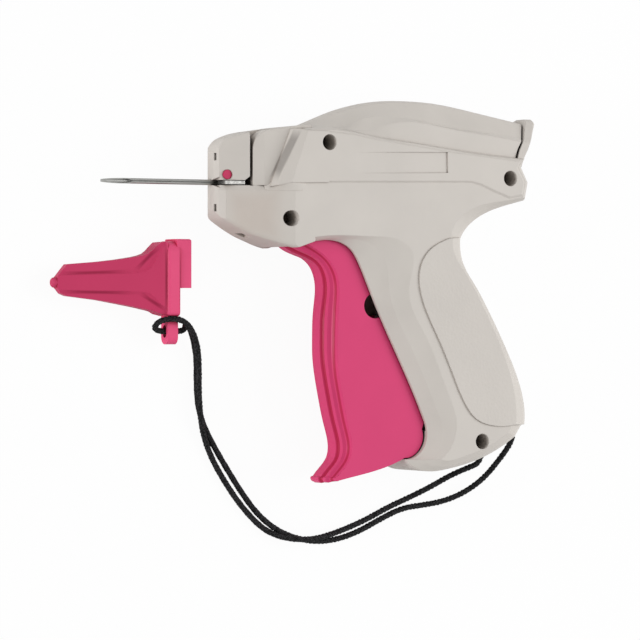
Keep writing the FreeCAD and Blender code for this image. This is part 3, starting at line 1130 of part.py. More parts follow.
def main():
    """Builds every piece and writes one file for each."""
    strand, strand_path, strand_radius = tube([level_point(s) for s in STRAND_SHARES], CORD_RADIUS)
    inside = [CORD_MOUTH_BACK_SHARES, CORD_CORNER_SHARES, CORD_MOUTH_LOW_SHARES]
    anchor, anchor_path, anchor_radius = tube([level_point(s) for s in inside], CORD_RADIUS)
    left, jaw = left_housing_and_jaw()
    pieces = {
        "left_housing": left,
        "right_housing": right_housing(jaw),
        "housing_screws": housing_screws(),
        "needle": needle(),
        "needle_hub": needle_hub(),
        "needle_lock": needle_lock(),
        "knife": knife(),
        "guide_block": guide_block(),
        "feed_wheel": feed_wheel(),
        "feed_axle": post(WHEEL_SHARES, AXLE_RADIUS, -2 * WHEEL_HALF, 2 * WHEEL_HALF),
        "feed_pawl": slab(PAWL_SHARES, -WHEEL_HALF, WHEEL_HALF),
        "trigger": trigger(),
        "trigger_pin": post(TRIGGER_PIVOT_SHARES, PIVOT_PIN_RADIUS, -TRIGGER_HALF + 0.4, TRIGGER_HALF - 1.3),
        "drive_pin": post(drive_pin_share(), PIN_RADIUS, -TRIGGER_HALF + 0.4, TRIGGER_HALF - 1.3),
        "drive_lever": drive_lever(),
        "fulcrum_pin": post(FULCRUM_SHARES, PIVOT_PIN_RADIUS, -TRIGGER_BAY_HALF, TRIGGER_BAY_HALF),
        "tip_pin": post(tip_pin_share(), PIN_RADIUS, -CARRIAGE_HALF + 0.3, CARRIAGE_HALF - 0.3),
        "carriage": carriage(),
        "push_rod": push_rod(),
        "return_spring": return_spring(),
        "needle_cap": needle_cap(),
        "lanyard_cord": strand,
        "lanyard_anchor": anchor,
    }
    os.makedirs("parts", exist_ok=True)
    shift = FreeCAD.Vector(-ORIGIN_X, -ORIGIN_Y, MID_HEIGHT)
    box = FreeCAD.BoundBox()
    for name, shape in pieces.items():
        placed = shape.copy()
        placed.translate(shift)
        placed.exportStep("parts/" + name + ".step")
        if not name.startswith("lanyard"):
            box.add(placed.optimalBoundingBox(False, False))
        print(name, "valid", placed.isValid(), "solids", len(placed.Solids), "volume", round(placed.Volume, 2))
    print("box", box)
    for name, share in (
        ("trigger pivot", TRIGGER_PIVOT_SHARES), ("fulcrum", FULCRUM_SHARES),
        ("drive pin", drive_pin_share()), ("lever tip", tip_pin_share()), ("feed wheel", WHEEL_SHARES),
        ("needle lock", LOCK_SHARES[0]),
    ):
        point = spot(share, 0) + shift
        print(name, [round(value, 3) for value in point])
    stroke = 2 * lever_long_arm() * math.sin(math.radians(LEVER_SWING / 2))
    print("carriage stroke", round(stroke, 2))
    area = math.pi * CORD_RADIUS ** 2
    length = strand_path.Length + anchor_path.Length
    print("cord length", round(length, 1), "least radius", round(strand_radius, 1), round(anchor_radius, 1))
    print("cord volume share", round(strand.Volume / (strand_path.Length * area), 4))


main()
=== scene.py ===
"""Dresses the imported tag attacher: moulded plastics, steel, a braided lanyard and a white studio."""

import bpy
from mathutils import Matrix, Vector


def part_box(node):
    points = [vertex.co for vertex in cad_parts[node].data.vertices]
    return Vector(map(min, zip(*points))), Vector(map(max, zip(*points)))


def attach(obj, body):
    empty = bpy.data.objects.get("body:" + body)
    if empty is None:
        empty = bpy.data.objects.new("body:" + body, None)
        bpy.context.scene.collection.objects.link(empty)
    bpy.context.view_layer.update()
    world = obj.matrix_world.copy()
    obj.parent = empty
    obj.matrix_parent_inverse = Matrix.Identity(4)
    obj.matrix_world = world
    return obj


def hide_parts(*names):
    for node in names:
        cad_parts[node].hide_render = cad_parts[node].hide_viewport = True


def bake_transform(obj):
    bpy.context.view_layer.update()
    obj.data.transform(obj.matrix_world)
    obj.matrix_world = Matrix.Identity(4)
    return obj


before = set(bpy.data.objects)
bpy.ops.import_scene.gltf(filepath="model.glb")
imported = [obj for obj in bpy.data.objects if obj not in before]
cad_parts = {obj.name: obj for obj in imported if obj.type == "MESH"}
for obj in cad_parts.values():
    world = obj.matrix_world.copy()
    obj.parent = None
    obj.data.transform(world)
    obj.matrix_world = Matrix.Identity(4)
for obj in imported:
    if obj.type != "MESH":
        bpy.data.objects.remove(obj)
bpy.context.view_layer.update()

import logging
import math
from dataclasses import dataclass, field
from enum import Enum

import bmesh
import bpy
from mathutils import Matrix, Vector

log = logging.getLogger("tag_attacher")

Triple = tuple[float, float, float]
Screen = tuple[int, int, int]
Socket = bpy.types.NodeSocket
Material = bpy.types.Material

# The length in metres that a share of 1 stands for.
SPAN = 0.1

WHITE = (1.0, 1.0, 1.0)


class Body(Enum):
    """The rigid bodies that pieces ride on."""

    HOUSING = "housing"
    TRIGGER = "trigger"
    CAP = "needle_cap"


class Slot(Enum):
    """The record's material slots."""

    HOUSING = "housing"
    CORD = "cord"


def linear(colour: Screen) -> Triple:
    """Turns a colour as it is seen on a screen into the shader's linear values, as the sRGB standard does.

    Args:
        colour: Red, green and blue from 0 to 255.

    Returns:
        Linear red, green and blue.
    """
    parts = []
    for value in colour:
        share = value / 255
        parts.append(share / 12.92 if share <= 0.04045 else ((share + 0.055) / 1.055) ** 2.4)
    return (parts[0], parts[1], parts[2])


def scaled(colour: Triple, factor: float) -> Triple:
    """Makes a linear colour darker or paler by a factor, up to white."""
    return tuple(min(1.0, part * factor) for part in colour)


@dataclass(frozen=True)
class Datum:
    """The point where the needle's axis leaves the nose, from which the tool is drawn.

    needle_reach is how far the needle stands out of the nose, in metres.
    """

    needle_reach: float = 0.0451

    def point(self, x: float, y: float, z: float) -> Vector:
        """Places shares of the span, measured from the datum, in the row frame.

        Args:
            x: Share of the span towards the tail.
            y: Share of the span up the handle.
            z: Share of the span above the parting plane.

        Returns:
            The point in metres.
        """
        low, high = (Vector(corner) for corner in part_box("needle"))
        origin = Vector((low.x + self.needle_reach, (low.y + high.y) / 2, (low.z + high.z) / 2))
        return origin + Vector((x, y, z)) * SPAN


class Nodes:
    """A small helper that adds and links the nodes of one tree."""

    def __init__(self, tree: bpy.types.NodeTree) -> None:
        """Keeps the tree that the nodes are added to."""
        self.tree = tree

    def feed(self, socket: Socket, value: object) -> None:
        """Links an input, or sets it to a plain value.

        Args:
            socket: The input.
            value: The output that it is linked to, or its value.
        """
        if isinstance(value, Socket):
            self.tree.links.new(value, socket)
        else:
            socket.default_value = value

    def add(self, kind: str, *first: object, **values: object) -> bpy.types.Node:
        """Adds a node, sets its properties and feeds its inputs.

        Args:
            kind: The node's type.
            first: What its first inputs get, in their order.
            values: Properties by name, or inputs by name with underscores for spaces.

        Returns:
            The new node.
        """
        node = self.tree.nodes.new(kind)
        named = {}
        for key, value in values.items():
            if hasattr(node, key):
                setattr(node, key, value)
            else:
                named[key.replace("_", " ")] = value
        for socket, value in zip(node.inputs, first):
            self.feed(socket, value)
        for name, value in named.items():
            self.feed(node.inputs[name], value)
        return node

    def arithmetic(self, operation: str, *values: object) -> Socket:
        """Adds one arithmetic node and returns its result."""
        return self.add("ShaderNodeMath", *values, operation=operation).outputs[0]

    def ramp(self, place: Socket, *stops: tuple[float, Triple]) -> Socket:
        """Adds a colour ramp.

        Args:
            place: Where on the ramp the colour is read, from 0 to 1.
            stops: Two or more pairs of a place and its linear colour, in order.

        Returns:
            The colour.
        """
        node = self.add("ShaderNodeValToRGB", place)
        elements = node.color_ramp.elements
        for element, (position, colour) in zip(elements, (stops[0], stops[-1])):
            element.position = position
            element.color = (*colour, 1.0)
        for position, colour in stops[1:-1]:
            elements.new(position).color = (*colour, 1.0)
        return node.outputs["Color"]


def start_material(name: str) -> tuple[Material, Nodes]:
    """Starts a material with an empty node tree.

    Args:
        name: The material's name.

    Returns:
        The material and the helper for its nodes.
    """
    made = bpy.data.materials.new(name)
    made.use_nodes = True
    made.node_tree.nodes.clear()
    return made, Nodes(made.node_tree)


@dataclass(frozen=True)
class Noise:
    """A cloudy pattern: its scale in cells per metre, its levels of detail and how much each level keeps."""

    scale: float
    detail: float
    keep: float

    def spread(self, nodes: Nodes, place: Socket) -> Socket:
        """Adds the pattern.

        Args:
            nodes: The material's node tree.
            place: Coordinates in metres.

        Returns:
            The pattern's value, from 0 to 1.
        """
        cloud = nodes.add("ShaderNodeTexNoise", Vector=place, Scale=self.scale, Detail=self.detail,
                          Roughness=self.keep)
        return cloud.outputs["Fac"]


@dataclass(frozen=True)
class Contrast:
    """How much a pattern darkens and pales a colour, and the pattern's values where it does so fully."""

    dark: float
    pale: float
    dark_at: float
    pale_at: float

    def shade(self, nodes: Nodes, pattern: Socket, colour: Screen) -> Socket:
        """Shades a plain colour by a pattern.

        Args:
            nodes: The material's node tree.
            pattern: The pattern's value, from 0 to 1.
            colour: The plain colour.

        Returns:
            The shaded colour.
        """
        base = linear(colour)
        return nodes.ramp(pattern, (self.dark_at, scaled(base, self.dark)),
                          (self.pale_at, scaled(base, self.pale)))


@dataclass(frozen=True)
class Grip:
    """The leather-like grain of the grip pads, which stand proud of both flanks below the body.

    Its lengths are in metres. middle is the height of the parting plane, level how far the pads' faces
    stand from it, and below the place along the handle under which they lie.
    """

    middle: float
    level: float = 0.01445
    below: float = 0.020
    cell_scale: float = 900.0
    height: float = 0.000045

    def relief(self, nodes: Nodes, place: Socket, normal: Socket) -> Socket:
        """Adds the grain to a normal, on the pads only.

        Args:
            nodes: The material's node tree.
            place: Object coordinates.
            normal: The normal without the grain.

        Returns:
            The normal with the grain.
        """
        parts = nodes.add("ShaderNodeSeparateXYZ", place).outputs
        out = nodes.arithmetic("ABSOLUTE", nodes.arithmetic("SUBTRACT", parts["Z"], self.middle))
        proud = nodes.arithmetic("GREATER_THAN", out, self.level)
        low = nodes.arithmetic("LESS_THAN", parts["Y"], self.below)
        cells = nodes.add("ShaderNodeTexVoronoi", Vector=place, Scale=self.cell_scale, Randomness=1.0)
        grain = nodes.add("ShaderNodeBump", Strength=nodes.arithmetic("MULTIPLY", proud, low),
                          Distance=self.height, Height=cells.outputs["Distance"], Normal=normal)
        return grain.outputs["Normal"]


@dataclass(frozen=True)
class ShadeBand:
    """A band of painted shade that makes a moulding duller and darker than the rest, given as a soft-edged
    box.

    The box has its centre and half its sizes in metres and its turn about z in radians. Its z counts
    from the middle plane of the tool, at the height called middle, so one band serves both flanks.
    soft is the share of each half that fades out.
    """

    centre: Triple
    half: Triple
    tint: Triple
    soft: float
    angle: float = 0.0
    middle: float = 0.015

    def tinted(self, nodes: Nodes, place: Socket, colour: Socket) -> Socket:
        """Multiplies a colour by the band's tint inside the box, which paints shade there.

        Args:
            nodes: The material's node tree.
            place: Object coordinates.
            colour: The colour to tint.

        Returns:
            The tinted colour.
        """
        parts = nodes.add("ShaderNodeSeparateXYZ", place).outputs
        fold = nodes.arithmetic("ABSOLUTE", nodes.arithmetic("SUBTRACT", parts["Z"], self.middle))
        folded = nodes.add("ShaderNodeCombineXYZ", parts["X"], parts["Y"], fold)
        box = nodes.add("ShaderNodeMapping", folded.outputs["Vector"], vector_type="TEXTURE",
                        Location=self.centre, Rotation=(0.0, 0.0, self.angle), Scale=self.half)
        away = nodes.add("ShaderNodeVectorMath", box.outputs["Vector"], operation="ABSOLUTE")
        sides = nodes.add("ShaderNodeSeparateXYZ", away.outputs["Vector"]).outputs
        flat = nodes.arithmetic("MAXIMUM", sides["X"], sides["Y"])
        furthest = nodes.arithmetic("MAXIMUM", flat, sides["Z"])
        inside = nodes.add("ShaderNodeMapRange", furthest, interpolation_type="SMOOTHSTEP",
                           From_Min=1 - self.soft, From_Max=1.0, To_Min=1.0, To_Max=0.0)
        tint = nodes.ramp(inside.outputs["Result"], (0.0, WHITE), (1.0, self.tint))
        return nodes.add("ShaderNodeVectorMath", colour, tint, operation="MULTIPLY").outputs["Vector"]


@dataclass(frozen=True)
class Plastic:
    """A moulded plastic: slight mottling, fine grain, soft edges paled as wear and painted highlight, and
    hollows darkened with painted shade.

    Lengths are in metres. hollow_stops are the shares of open sky at which the painted shade in a hollow
    has its deep tint, has its middle tint and is clear. edge_turn is the cosine between the softened and
    the flat normal at which an edge is fully paled.
    """

    name: str
    colour: Screen
    roughness: float
    specular: float = 0.4
    roughness_spread: float = 0.08
    mottling: Noise = Noise(45.0, 3.0, 0.55)
    contrast: Contrast = Contrast(0.965, 1.035, 0.3, 0.7)
    grain: Noise = Noise(2600.0, 2.0, 0.6)
    grain_height: float = 0.000012
    grain_strength: float = 0.6
    edge: float = 0.00045
    edge_samples: int = 4
    edge_turn: float = 0.82
    # Edges pale by this share, as wear and as painted highlight.
    edge_wear: float = 0.08
    # Painted shade in the hollows: how far it reaches, its samples, its tints and where they fall.
    hollow_reach: float = 0.0056
    hollow_samples: int = 8
    hollow_shade_deep: Triple = (0.024, 0.016, 0.011)
    hollow_shade_mid: Triple = (0.80, 0.77, 0.75)
    hollow_stops: Triple = (0.16, 0.5, 0.80)
    bands: tuple[ShadeBand, ...] = ()
    grip: Grip | None = None

    def material(self) -> Material:
        """Builds the finish.

        Returns:
            A material whose pattern follows object coordinates.
        """
        made, nodes = start_material(self.name)
        place = nodes.add("ShaderNodeTexCoord").outputs["Object"]
        cloud = self.mottling.spread(nodes, place)
        shade = self.contrast.shade(nodes, cloud, self.colour)
        polish = nodes.add("ShaderNodeMapRange", cloud, To_Min=self.roughness - self.roughness_spread,
                           To_Max=self.roughness + self.roughness_spread)
        soft = nodes.add("ShaderNodeBevel", samples=self.edge_samples, Radius=self.edge).outputs["Normal"]
        colour = self.shade_hollows_and_pale_edges(nodes, shade, soft)
        for band in self.bands:
            colour = band.tinted(nodes, place, colour)
        bump = nodes.add("ShaderNodeBump", Strength=self.grain_strength, Distance=self.grain_height,
                         Height=self.grain.spread(nodes, place), Normal=soft)
        normal = bump.outputs["Normal"]
        if self.grip is not None:
            normal = self.grip.relief(nodes, place, normal)
        shader = nodes.add("ShaderNodeBsdfPrincipled", Base_Color=colour, Roughness=polish.outputs["Result"],
                           Normal=normal, Specular_IOR_Level=self.specular)
        nodes.add("ShaderNodeOutputMaterial", Surface=shader.outputs["BSDF"])
        return made

    def shade_hollows_and_pale_edges(self, nodes: Nodes, colour: Socket, rounded: Socket) -> Socket:
        """Darkens the hollows with painted shade and pales the edges of a colour, as wear and painted
        highlight.

        Args:
            nodes: The material's node tree.
            colour: The plain colour.
            rounded: The softened normal, which leaves the flat one only near an edge.

        Returns:
            The colour with painted shade in its hollows and paled edges.
        """
        # Painted shade: the colour darkens in hollows, creases and gaps, the less of the sky they see.
        hollow = nodes.add("ShaderNodeAmbientOcclusion", samples=self.hollow_samples,
                           Distance=self.hollow_reach)
        tint = nodes.ramp(hollow.outputs["AO"],
                          *zip(self.hollow_stops, (self.hollow_shade_deep, self.hollow_shade_mid, WHITE)))
        # Wear and painted highlight: the colour pales along rounded edges.
        flat = nodes.add("ShaderNodeNewGeometry").outputs["Normal"]
        turn = nodes.add("ShaderNodeVectorMath", rounded, flat, operation="DOT_PRODUCT")
        wear = nodes.add("ShaderNodeMapRange", turn.outputs["Value"], From_Min=self.edge_turn,
                         To_Min=1 + self.edge_wear, To_Max=1.0)
        hollow_shaded = nodes.add("ShaderNodeVectorMath", colour, tint, operation="MULTIPLY")
        paled = nodes.add("ShaderNodeVectorMath", hollow_shaded.outputs["Vector"], operation="SCALE",
                          Scale=wear.outputs["Result"])
        return paled.outputs["Vector"]


@dataclass(frozen=True)
class Steel:
    """Ground steel with fine marks, whose scale is given along each axis in cells per metre.

    The marks make it rougher and smoother by the amounts that bear these names.
    """

    name: str
    colour: Screen
    roughness: float = 0.32
    rougher: float = 0.14
    smoother: float = 0.08
    mark_scale: Triple = (60.0, 2600.0, 2600.0)
    marks: Noise = Noise(1.0, 3.0, 0.7)
    contrast: Contrast = Contrast(0.72, 1.18, 0.35, 0.65)
    mark_height: float = 0.000010
    mark_strength: float = 0.5

    def material(self) -> Material:
        """Builds the finish.

        Returns:
            A metallic material whose marks follow object coordinates.
        """
        made, nodes = start_material(self.name)
        place = nodes.add("ShaderNodeTexCoord").outputs["Object"]
        stretch = nodes.add("ShaderNodeMapping", place, Scale=self.mark_scale)
        marks = self.marks.spread(nodes, stretch.outputs["Vector"])
        polish = nodes.add("ShaderNodeMapRange", marks, To_Min=self.roughness - self.smoother,
                           To_Max=self.roughness + self.rougher)
        bump = nodes.add("ShaderNodeBump", Strength=self.mark_strength, Distance=self.mark_height,
                         Height=marks)
        shader = nodes.add("ShaderNodeBsdfPrincipled", Metallic=1.0, Roughness=polish.outputs["Result"],
                           Base_Color=self.contrast.shade(nodes, marks, self.colour),
                           Normal=bump.outputs["Normal"])
        nodes.add("ShaderNodeOutputMaterial", Surface=shader.outputs["BSDF"])
        return made


@dataclass(frozen=True)
class Yarn:
    """Black polyester yarn with fine filaments."""

    name: str = "lanyard_yarn"
    colour: Screen = (19, 19, 20)
    roughness: float = 0.6
    specular: float = 0.12
    sheen: float = 0.03
    sheen_roughness: float = 0.4
    filaments: Noise = Noise(1700.0, 3.0, 0.65)
    contrast: Contrast = Contrast(0.4, 6.0, 0.46, 0.60)
    filament_height: float = 0.00005
    filament_strength: float = 0.8

    def material(self) -> Material:
        """Builds the finish.

        Returns:
            A dark, slightly sheeny material with filament bump.
        """
        made, nodes = start_material(self.name)
        place = nodes.add("ShaderNodeTexCoord").outputs["Object"]
        fibre = self.filaments.spread(nodes, place)
        bump = nodes.add("ShaderNodeBump", Strength=self.filament_strength, Distance=self.filament_height,
                         Height=fibre)
        shader = nodes.add("ShaderNodeBsdfPrincipled", Roughness=self.roughness,
                           Specular_IOR_Level=self.specular, Sheen_Weight=self.sheen,
                           Sheen_Roughness=self.sheen_roughness, Normal=bump.outputs["Normal"],
                           Base_Color=self.contrast.shade(nodes, fibre, self.colour))
        nodes.add("ShaderNodeOutputMaterial", Surface=shader.outputs["BSDF"])
        return made


@dataclass(frozen=True)
class Shading:
    """The bands of painted shade that make parts of the mouldings duller or darker than the rest.

    Each groove of the trigger has its level over the middle plane, its half width and its soft share.
    Each crease of the cap has its middle in x and y, its half length and half width, and its turn.
    through and across are half sizes that reach past the tool.
    """

    # Painted shade along the slanted ridge's front face and on the lower part of the nose.
    ridge: ShadeBand = ShadeBand(centre=(-0.01385, 0.0497, 0.0120), half=(0.0112, 0.0013, 0.0036),
                                 tint=(0.57, 0.56, 0.56), angle=1.103, soft=0.5)
    nose: ShadeBand = ShadeBand(centre=(-0.0255, 0.0275, 0.0), half=(0.0125, 0.0125, 0.2),
                                tint=(0.92, 0.88, 0.86), soft=0.7)
    # Painted shade on the cap's tapered body, which leaves its flange paler.
    cap_body: ShadeBand = ShadeBand(centre=(-0.0934, 0.0, 0.0), half=(0.0400, 0.2, 0.1),
                                    tint=(0.70, 0.50, 0.58), soft=0.02)
    through: float = 0.1
    across: float = 0.2
    # Painted shade in the grooves between the trigger's front steps.
    groove_shade_tint: Triple = (0.70, 0.36, 0.42)
    grooves: tuple[Triple, ...] = ((0.00295, 0.00095, 0.6), (0.00710, 0.00080, 0.7))
    # Painted shade along the cap's creases and beside its flange.
    crease_shade_tint: Triple = (0.60, 0.42, 0.50)
    crease_soft: float = 0.9
    creases: tuple[tuple[float, float, float, float, float], ...] = (
        (-0.0823, 0.0063, 0.0160, 0.0009, 0.032), (-0.0611, 0.0116, 0.0075, 0.0010, 0.743),
        (-0.0812, -0.0008, 0.0170, 0.0009, -0.012), (-0.0590, -0.0042, 0.0070, 0.0010, -0.546),
        (-0.0541, 0.0040, 0.0150, 0.0008, 1.571), (-0.0487, 0.0040, 0.0150, 0.0008, 1.571),
    )

    def trigger(self) -> tuple[ShadeBand, ...]:
        """Makes the painted shade in the two grooves between the trigger's front steps.

        Returns:
            The bands.
        """
        return tuple(ShadeBand((0.0, 0.0, level), (self.across, self.across, half), self.groove_shade_tint,
                               soft=soft) for level, half, soft in self.grooves)

    def cap(self) -> tuple[ShadeBand, ...]:
        """Makes the painted shade on the cap's tapered body, which is darker than its flange, and along its
        creases.

        Returns:
            The bands.
        """
        lines = tuple(ShadeBand((x, y, 0.0), (length, width, self.through), self.crease_shade_tint, angle=turn,
                                soft=self.crease_soft) for x, y, length, width, turn in self.creases)
        return (self.cap_body,) + lines


@dataclass
class Palette:
    """Every finish of the tool, built once. middle is the height of the parting plane in metres."""

    middle: float
    shading: Shading = Shading()
    # Painted shade in the hollows of the pink plastics, from deep red to a middle pink.
    pink_shade_deep: Triple = (0.12, 0.01, 0.03)
    pink_shade_mid: Triple = (0.76, 0.42, 0.48)
    pink_contrast: Contrast = Contrast(0.98, 1.02, 0.3, 0.7)
    cast_marks: Triple = (900.0, 900.0, 900.0)
    housing: Material = field(init=False)
    trigger: Material = field(init=False)
    cap: Material = field(init=False)
    lock: Material = field(init=False)
    needle: Material = field(init=False)
    steel: Material = field(init=False)
    screws: Material = field(init=False)
    nylon: Material = field(init=False)
    yarn: Material = field(init=False)

    def __post_init__(self) -> None:
        """Builds the materials."""
        self.housing = Plastic("housing_grey", (206, 200, 193), 0.5, grip=Grip(self.middle),
                               bands=(self.shading.ridge, self.shading.nose)).material()
        self.trigger = self.pink("trigger_pink", (219, 68, 119), 0.34, specular=0.14, hollow_reach=0.0012,
                                 edge=0.00012, bands=self.shading.trigger())
        # The cap's edges pale more, as wear and painted highlight.
        self.cap = self.pink("cap_pink", (233, 84, 129), 0.34, specular=0.14, hollow_reach=0.0022,
                             edge=0.00015, edge_wear=0.2, hollow_stops=(0.16, 0.5, 0.97),
                             bands=self.shading.cap())
        self.lock = self.pink("lock_pink", (196, 40, 90), 0.35, specular=0.3)
        self.needle = Steel("needle_steel", (158, 158, 155)).material()
        self.steel = Steel("bright_steel", (170, 169, 166), mark_scale=self.cast_marks).material()
        # The screw heads sit deep in their wells, and their dark brown is painted shade.
        self.screws = Steel("screw_well_shade", (70, 62, 56), roughness=0.5, mark_scale=self.cast_marks).material()
        self.nylon = Plastic("natural_nylon", (222, 220, 214), 0.4).material()
        self.yarn = Yarn().material()

    def pink(self, name: str, colour: Screen, roughness: float, **sizes: object) -> Material:
        """Builds a pink plastic, whose painted shade in the hollows is deep red.

        Args:
            name: The material's name.
            colour: Its plain colour.
            roughness: Its roughness.
            sizes: Other fields of the plastic by name.

        Returns:
            The material.
        """
        return Plastic(name, colour, roughness, contrast=self.pink_contrast, hollow_shade_deep=self.pink_shade_deep,
                       hollow_shade_mid=self.pink_shade_mid, **sizes).material()


@dataclass
class Casting:
    """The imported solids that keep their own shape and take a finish."""

    palette: Palette

    def finishes(self) -> dict[str, Material]:
        """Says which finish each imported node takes.

        Returns:
            The finishes by the nodes' names.
        """
        groups = (
            (self.palette.housing, ("left_housing", "right_housing")),
            (self.palette.trigger, ("trigger",)),
            (self.palette.cap, ("needle_cap",)),
            (self.palette.lock, ("needle_lock",)),
            (self.palette.needle, ("needle",)),
            (self.palette.screws, ("housing_screws",)),
            (self.palette.steel, ("needle_hub", "knife", "guide_block", "feed_axle", "feed_pawl",
                                  "trigger_pin", "drive_pin", "drive_lever", "fulcrum_pin", "tip_pin",
                                  "push_rod", "return_spring")),
            (self.palette.nylon, ("feed_wheel", "carriage")),
        )
        return {name: finish for finish, names in groups for name in names}

    def dress(self) -> None:
        """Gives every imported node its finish."""
        finishes = self.finishes()
        for name, finish in finishes.items():
            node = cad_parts[name]
            node.data.materials.clear()
            node.data.materials.append(finish)
        log.info("dressed %d packed nodes", len(finishes))


def add_ring(made: bmesh.types.BMesh, centre: Vector, first: Vector, second: Vector, radius: float,
             sides: int) -> list[bmesh.types.BMVert]:
    """Adds the corners of a round ring.

    Args:
        made: The shape being built.
        centre: The ring's centre.
        first: The direction of its first corner.
        second: The direction a quarter turn on.
        radius: Its radius in metres.
        sides: How many corners it has.

    Returns:
        The corners in order.
    """
    corners = []
    for side in range(sides):
        turn = 2 * math.pi * side / sides
        corners.append(made.verts.new(centre + (first * math.cos(turn) + second * math.sin(turn)) * radius))
    return corners


def close_tube(made: bmesh.types.BMesh, rings: list[list[bmesh.types.BMVert]]) -> None:
    """Joins rings into a closed tube with a smooth wall.

    Args:
        made: The shape being built.
        rings: The rings from one end to the other, each with as many corners.
    """
    for low, high in zip(rings, rings[1:]):
        for side in range(len(low)):
            after = (side + 1) % len(low)
            face = made.faces.new((low[side], low[after], high[after], high[side]))
            face.smooth = True
    made.faces.new(list(reversed(rings[0])))
    made.faces.new(rings[-1])


def new_piece(name: str, made: bmesh.types.BMesh, finish: Material) -> bpy.types.Object:
    """Turns a built shape into a piece at the origin, with its faces outwards.

    Args:
        name: The piece's name.
        made: The shape, which is freed.
        finish: The piece's material.

    Returns:
        The piece.
    """
    bmesh.ops.recalc_face_normals(made, faces=made.faces)
    mesh = bpy.data.meshes.new(name)
    made.to_mesh(mesh)
    made.free()
    mesh.materials.append(finish)
    piece = bpy.data.objects.new(name, mesh)
    bpy.context.collection.objects.link(piece)
    log.info("%s: %d faces", name, len(mesh.polygons))
    return piece


@dataclass
class LedgeBlend:
    """The smooth ramp under each slanted ridge, where the nose ledge runs out into the flank.

    Its sizes are shares of the span. At each station, counted from the nose, the ramp's outer face
    rises from a foot level to a head level over the parting plane.
    """

    datum: Datum
    finish: Material
    station_shares: tuple[float, ...] = (
        0.160, 0.180, 0.192, 0.205, 0.220, 0.240, 0.260, 0.280, 0.300, 0.318,
    )
    head_level_shares: tuple[float, ...] = (
        0.0905, 0.0970, 0.1130, 0.1330, 0.1405, 0.1470, 0.1488, 0.1482, 0.1455, 0.1415,
    )
    foot_level_shares: tuple[float, ...] = (
        0.1020, 0.1115, 0.1165, 0.1215, 0.1275, 0.1355, 0.1425, 0.1437, 0.1437, 0.1415,
    )
    head_share: float = 0.0015
    foot_share: float = -0.0325
    depth_share: float = 0.016
    rows: int = 6

    def outer_point(self, station: int, up: float, side: float) -> Vector:
        """Finds a point of the ramp's outer face.

        Args:
            station: Number of the cross-section, counted from the nose.
            up: Share of the way from the ramp's foot to its head.
            side: 1 for the near flank, -1 for the far one.

        Returns:
            The point in metres.
        """
        eased = up * up * (3 - 2 * up)
        foot_level = self.foot_level_shares[station]
        level = foot_level + (self.head_level_shares[station] - foot_level) * eased
        height = self.foot_share + (self.head_share - self.foot_share) * up
        return self.datum.point(self.station_shares[station], height, side * level)

    def ramp(self, name: str, side: float) -> bpy.types.Object:
        """Builds the ramp of one flank.

        Args:
            name: The piece's name.
            side: 1 for the near flank, -1 for the far one.

        Returns:
            The piece.
        """
        made = bmesh.new()
        outer = []
        inner = []
        last = len(self.station_shares) - 1
        for i in range(last + 1):
            outer.append([made.verts.new(self.outer_point(i, j / self.rows, side))
                          for j in range(self.rows + 1)])
            root = min(self.head_level_shares[i], self.foot_level_shares[i]) - self.depth_share
            inner.append([made.verts.new(self.datum.point(self.station_shares[i], up, side * root))
                          for up in (self.foot_share, self.head_share)])
        for i in range(last):
            for j in range(self.rows):
                face = made.faces.new((outer[i][j], outer[i + 1][j], outer[i + 1][j + 1], outer[i][j + 1]))
                face.smooth = True
            made.faces.new((inner[i][0], inner[i + 1][0], outer[i + 1][0], outer[i][0]))
            made.faces.new((inner[i + 1][1], inner[i][1], outer[i][-1], outer[i + 1][-1]))
            made.faces.new((inner[i][0], inner[i][1], inner[i + 1][1], inner[i + 1][0]))
        for i in (0, last):
            made.faces.new([inner[i][0]] + outer[i] + [inner[i][1]])
        return new_piece(name, made, self.finish)

    def build(self) -> None:
        """Builds one ramp on each flank and rides them on the housing."""
        for name, side in (("ledge_blend_near", 1.0), ("ledge_blend_far", -1.0)):
            ramp = self.ramp(name, side)
            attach(ramp, Body.HOUSING.value)


@dataclass
class NeedleSeat:
    """The bright steel tongues that carry the needle in the nose slot, up to just under each flank.

    Their extents are shares of the span: along the nose, up the handle and away from the parting
    plane. The chamfer is in metres.
    """

    datum: Datum
    finish: Material
    start_share: float = 0.012
    end_share: float = 0.095
    low_share: float = -0.0080
    high_share: float = 0.0060
    root_share: float = 0.012
    crest_share: float = 0.068
    chamfer: float = 0.00025
    chamfer_steps: int = 2
    chamfer_profile: float = 0.6

    def tongue(self, name: str, side: float) -> bpy.types.Object:
        """Builds the tongue on one side of the parting plane.

        Args:
            name: The piece's name.
            side: 1 for the near side, -1 for the far one.

        Returns:
            The piece.
        """
        made = bmesh.new()
        outline = ((self.start_share, self.low_share), (self.end_share, self.low_share),
                   (self.end_share, self.high_share), (self.start_share, self.high_share))
        root, crest = ([made.verts.new(self.datum.point(x, y, side * z)) for x, y in outline]
                       for z in (self.root_share, self.crest_share))
        made.faces.new([root[0]] + root[:0:-1])
        made.faces.new(crest)
        for i in range(len(outline)):
            after = (i + 1) % len(outline)
            made.faces.new((root[i], root[after], crest[after], crest[i]))
        bmesh.ops.bevel(made, geom=list(made.edges), offset=self.chamfer, segments=self.chamfer_steps,
                        affect="EDGES", profile=self.chamfer_profile)
        return new_piece(name, made, self.finish)

    def build(self) -> None:
        """Builds one tongue on each side of the parting plane and rides them on the housing."""
        for name, side in (("needle_seat_near", 1.0), ("needle_seat_far", -1.0)):
            tongue = self.tongue(name, side)
            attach(tongue, Body.HOUSING.value)


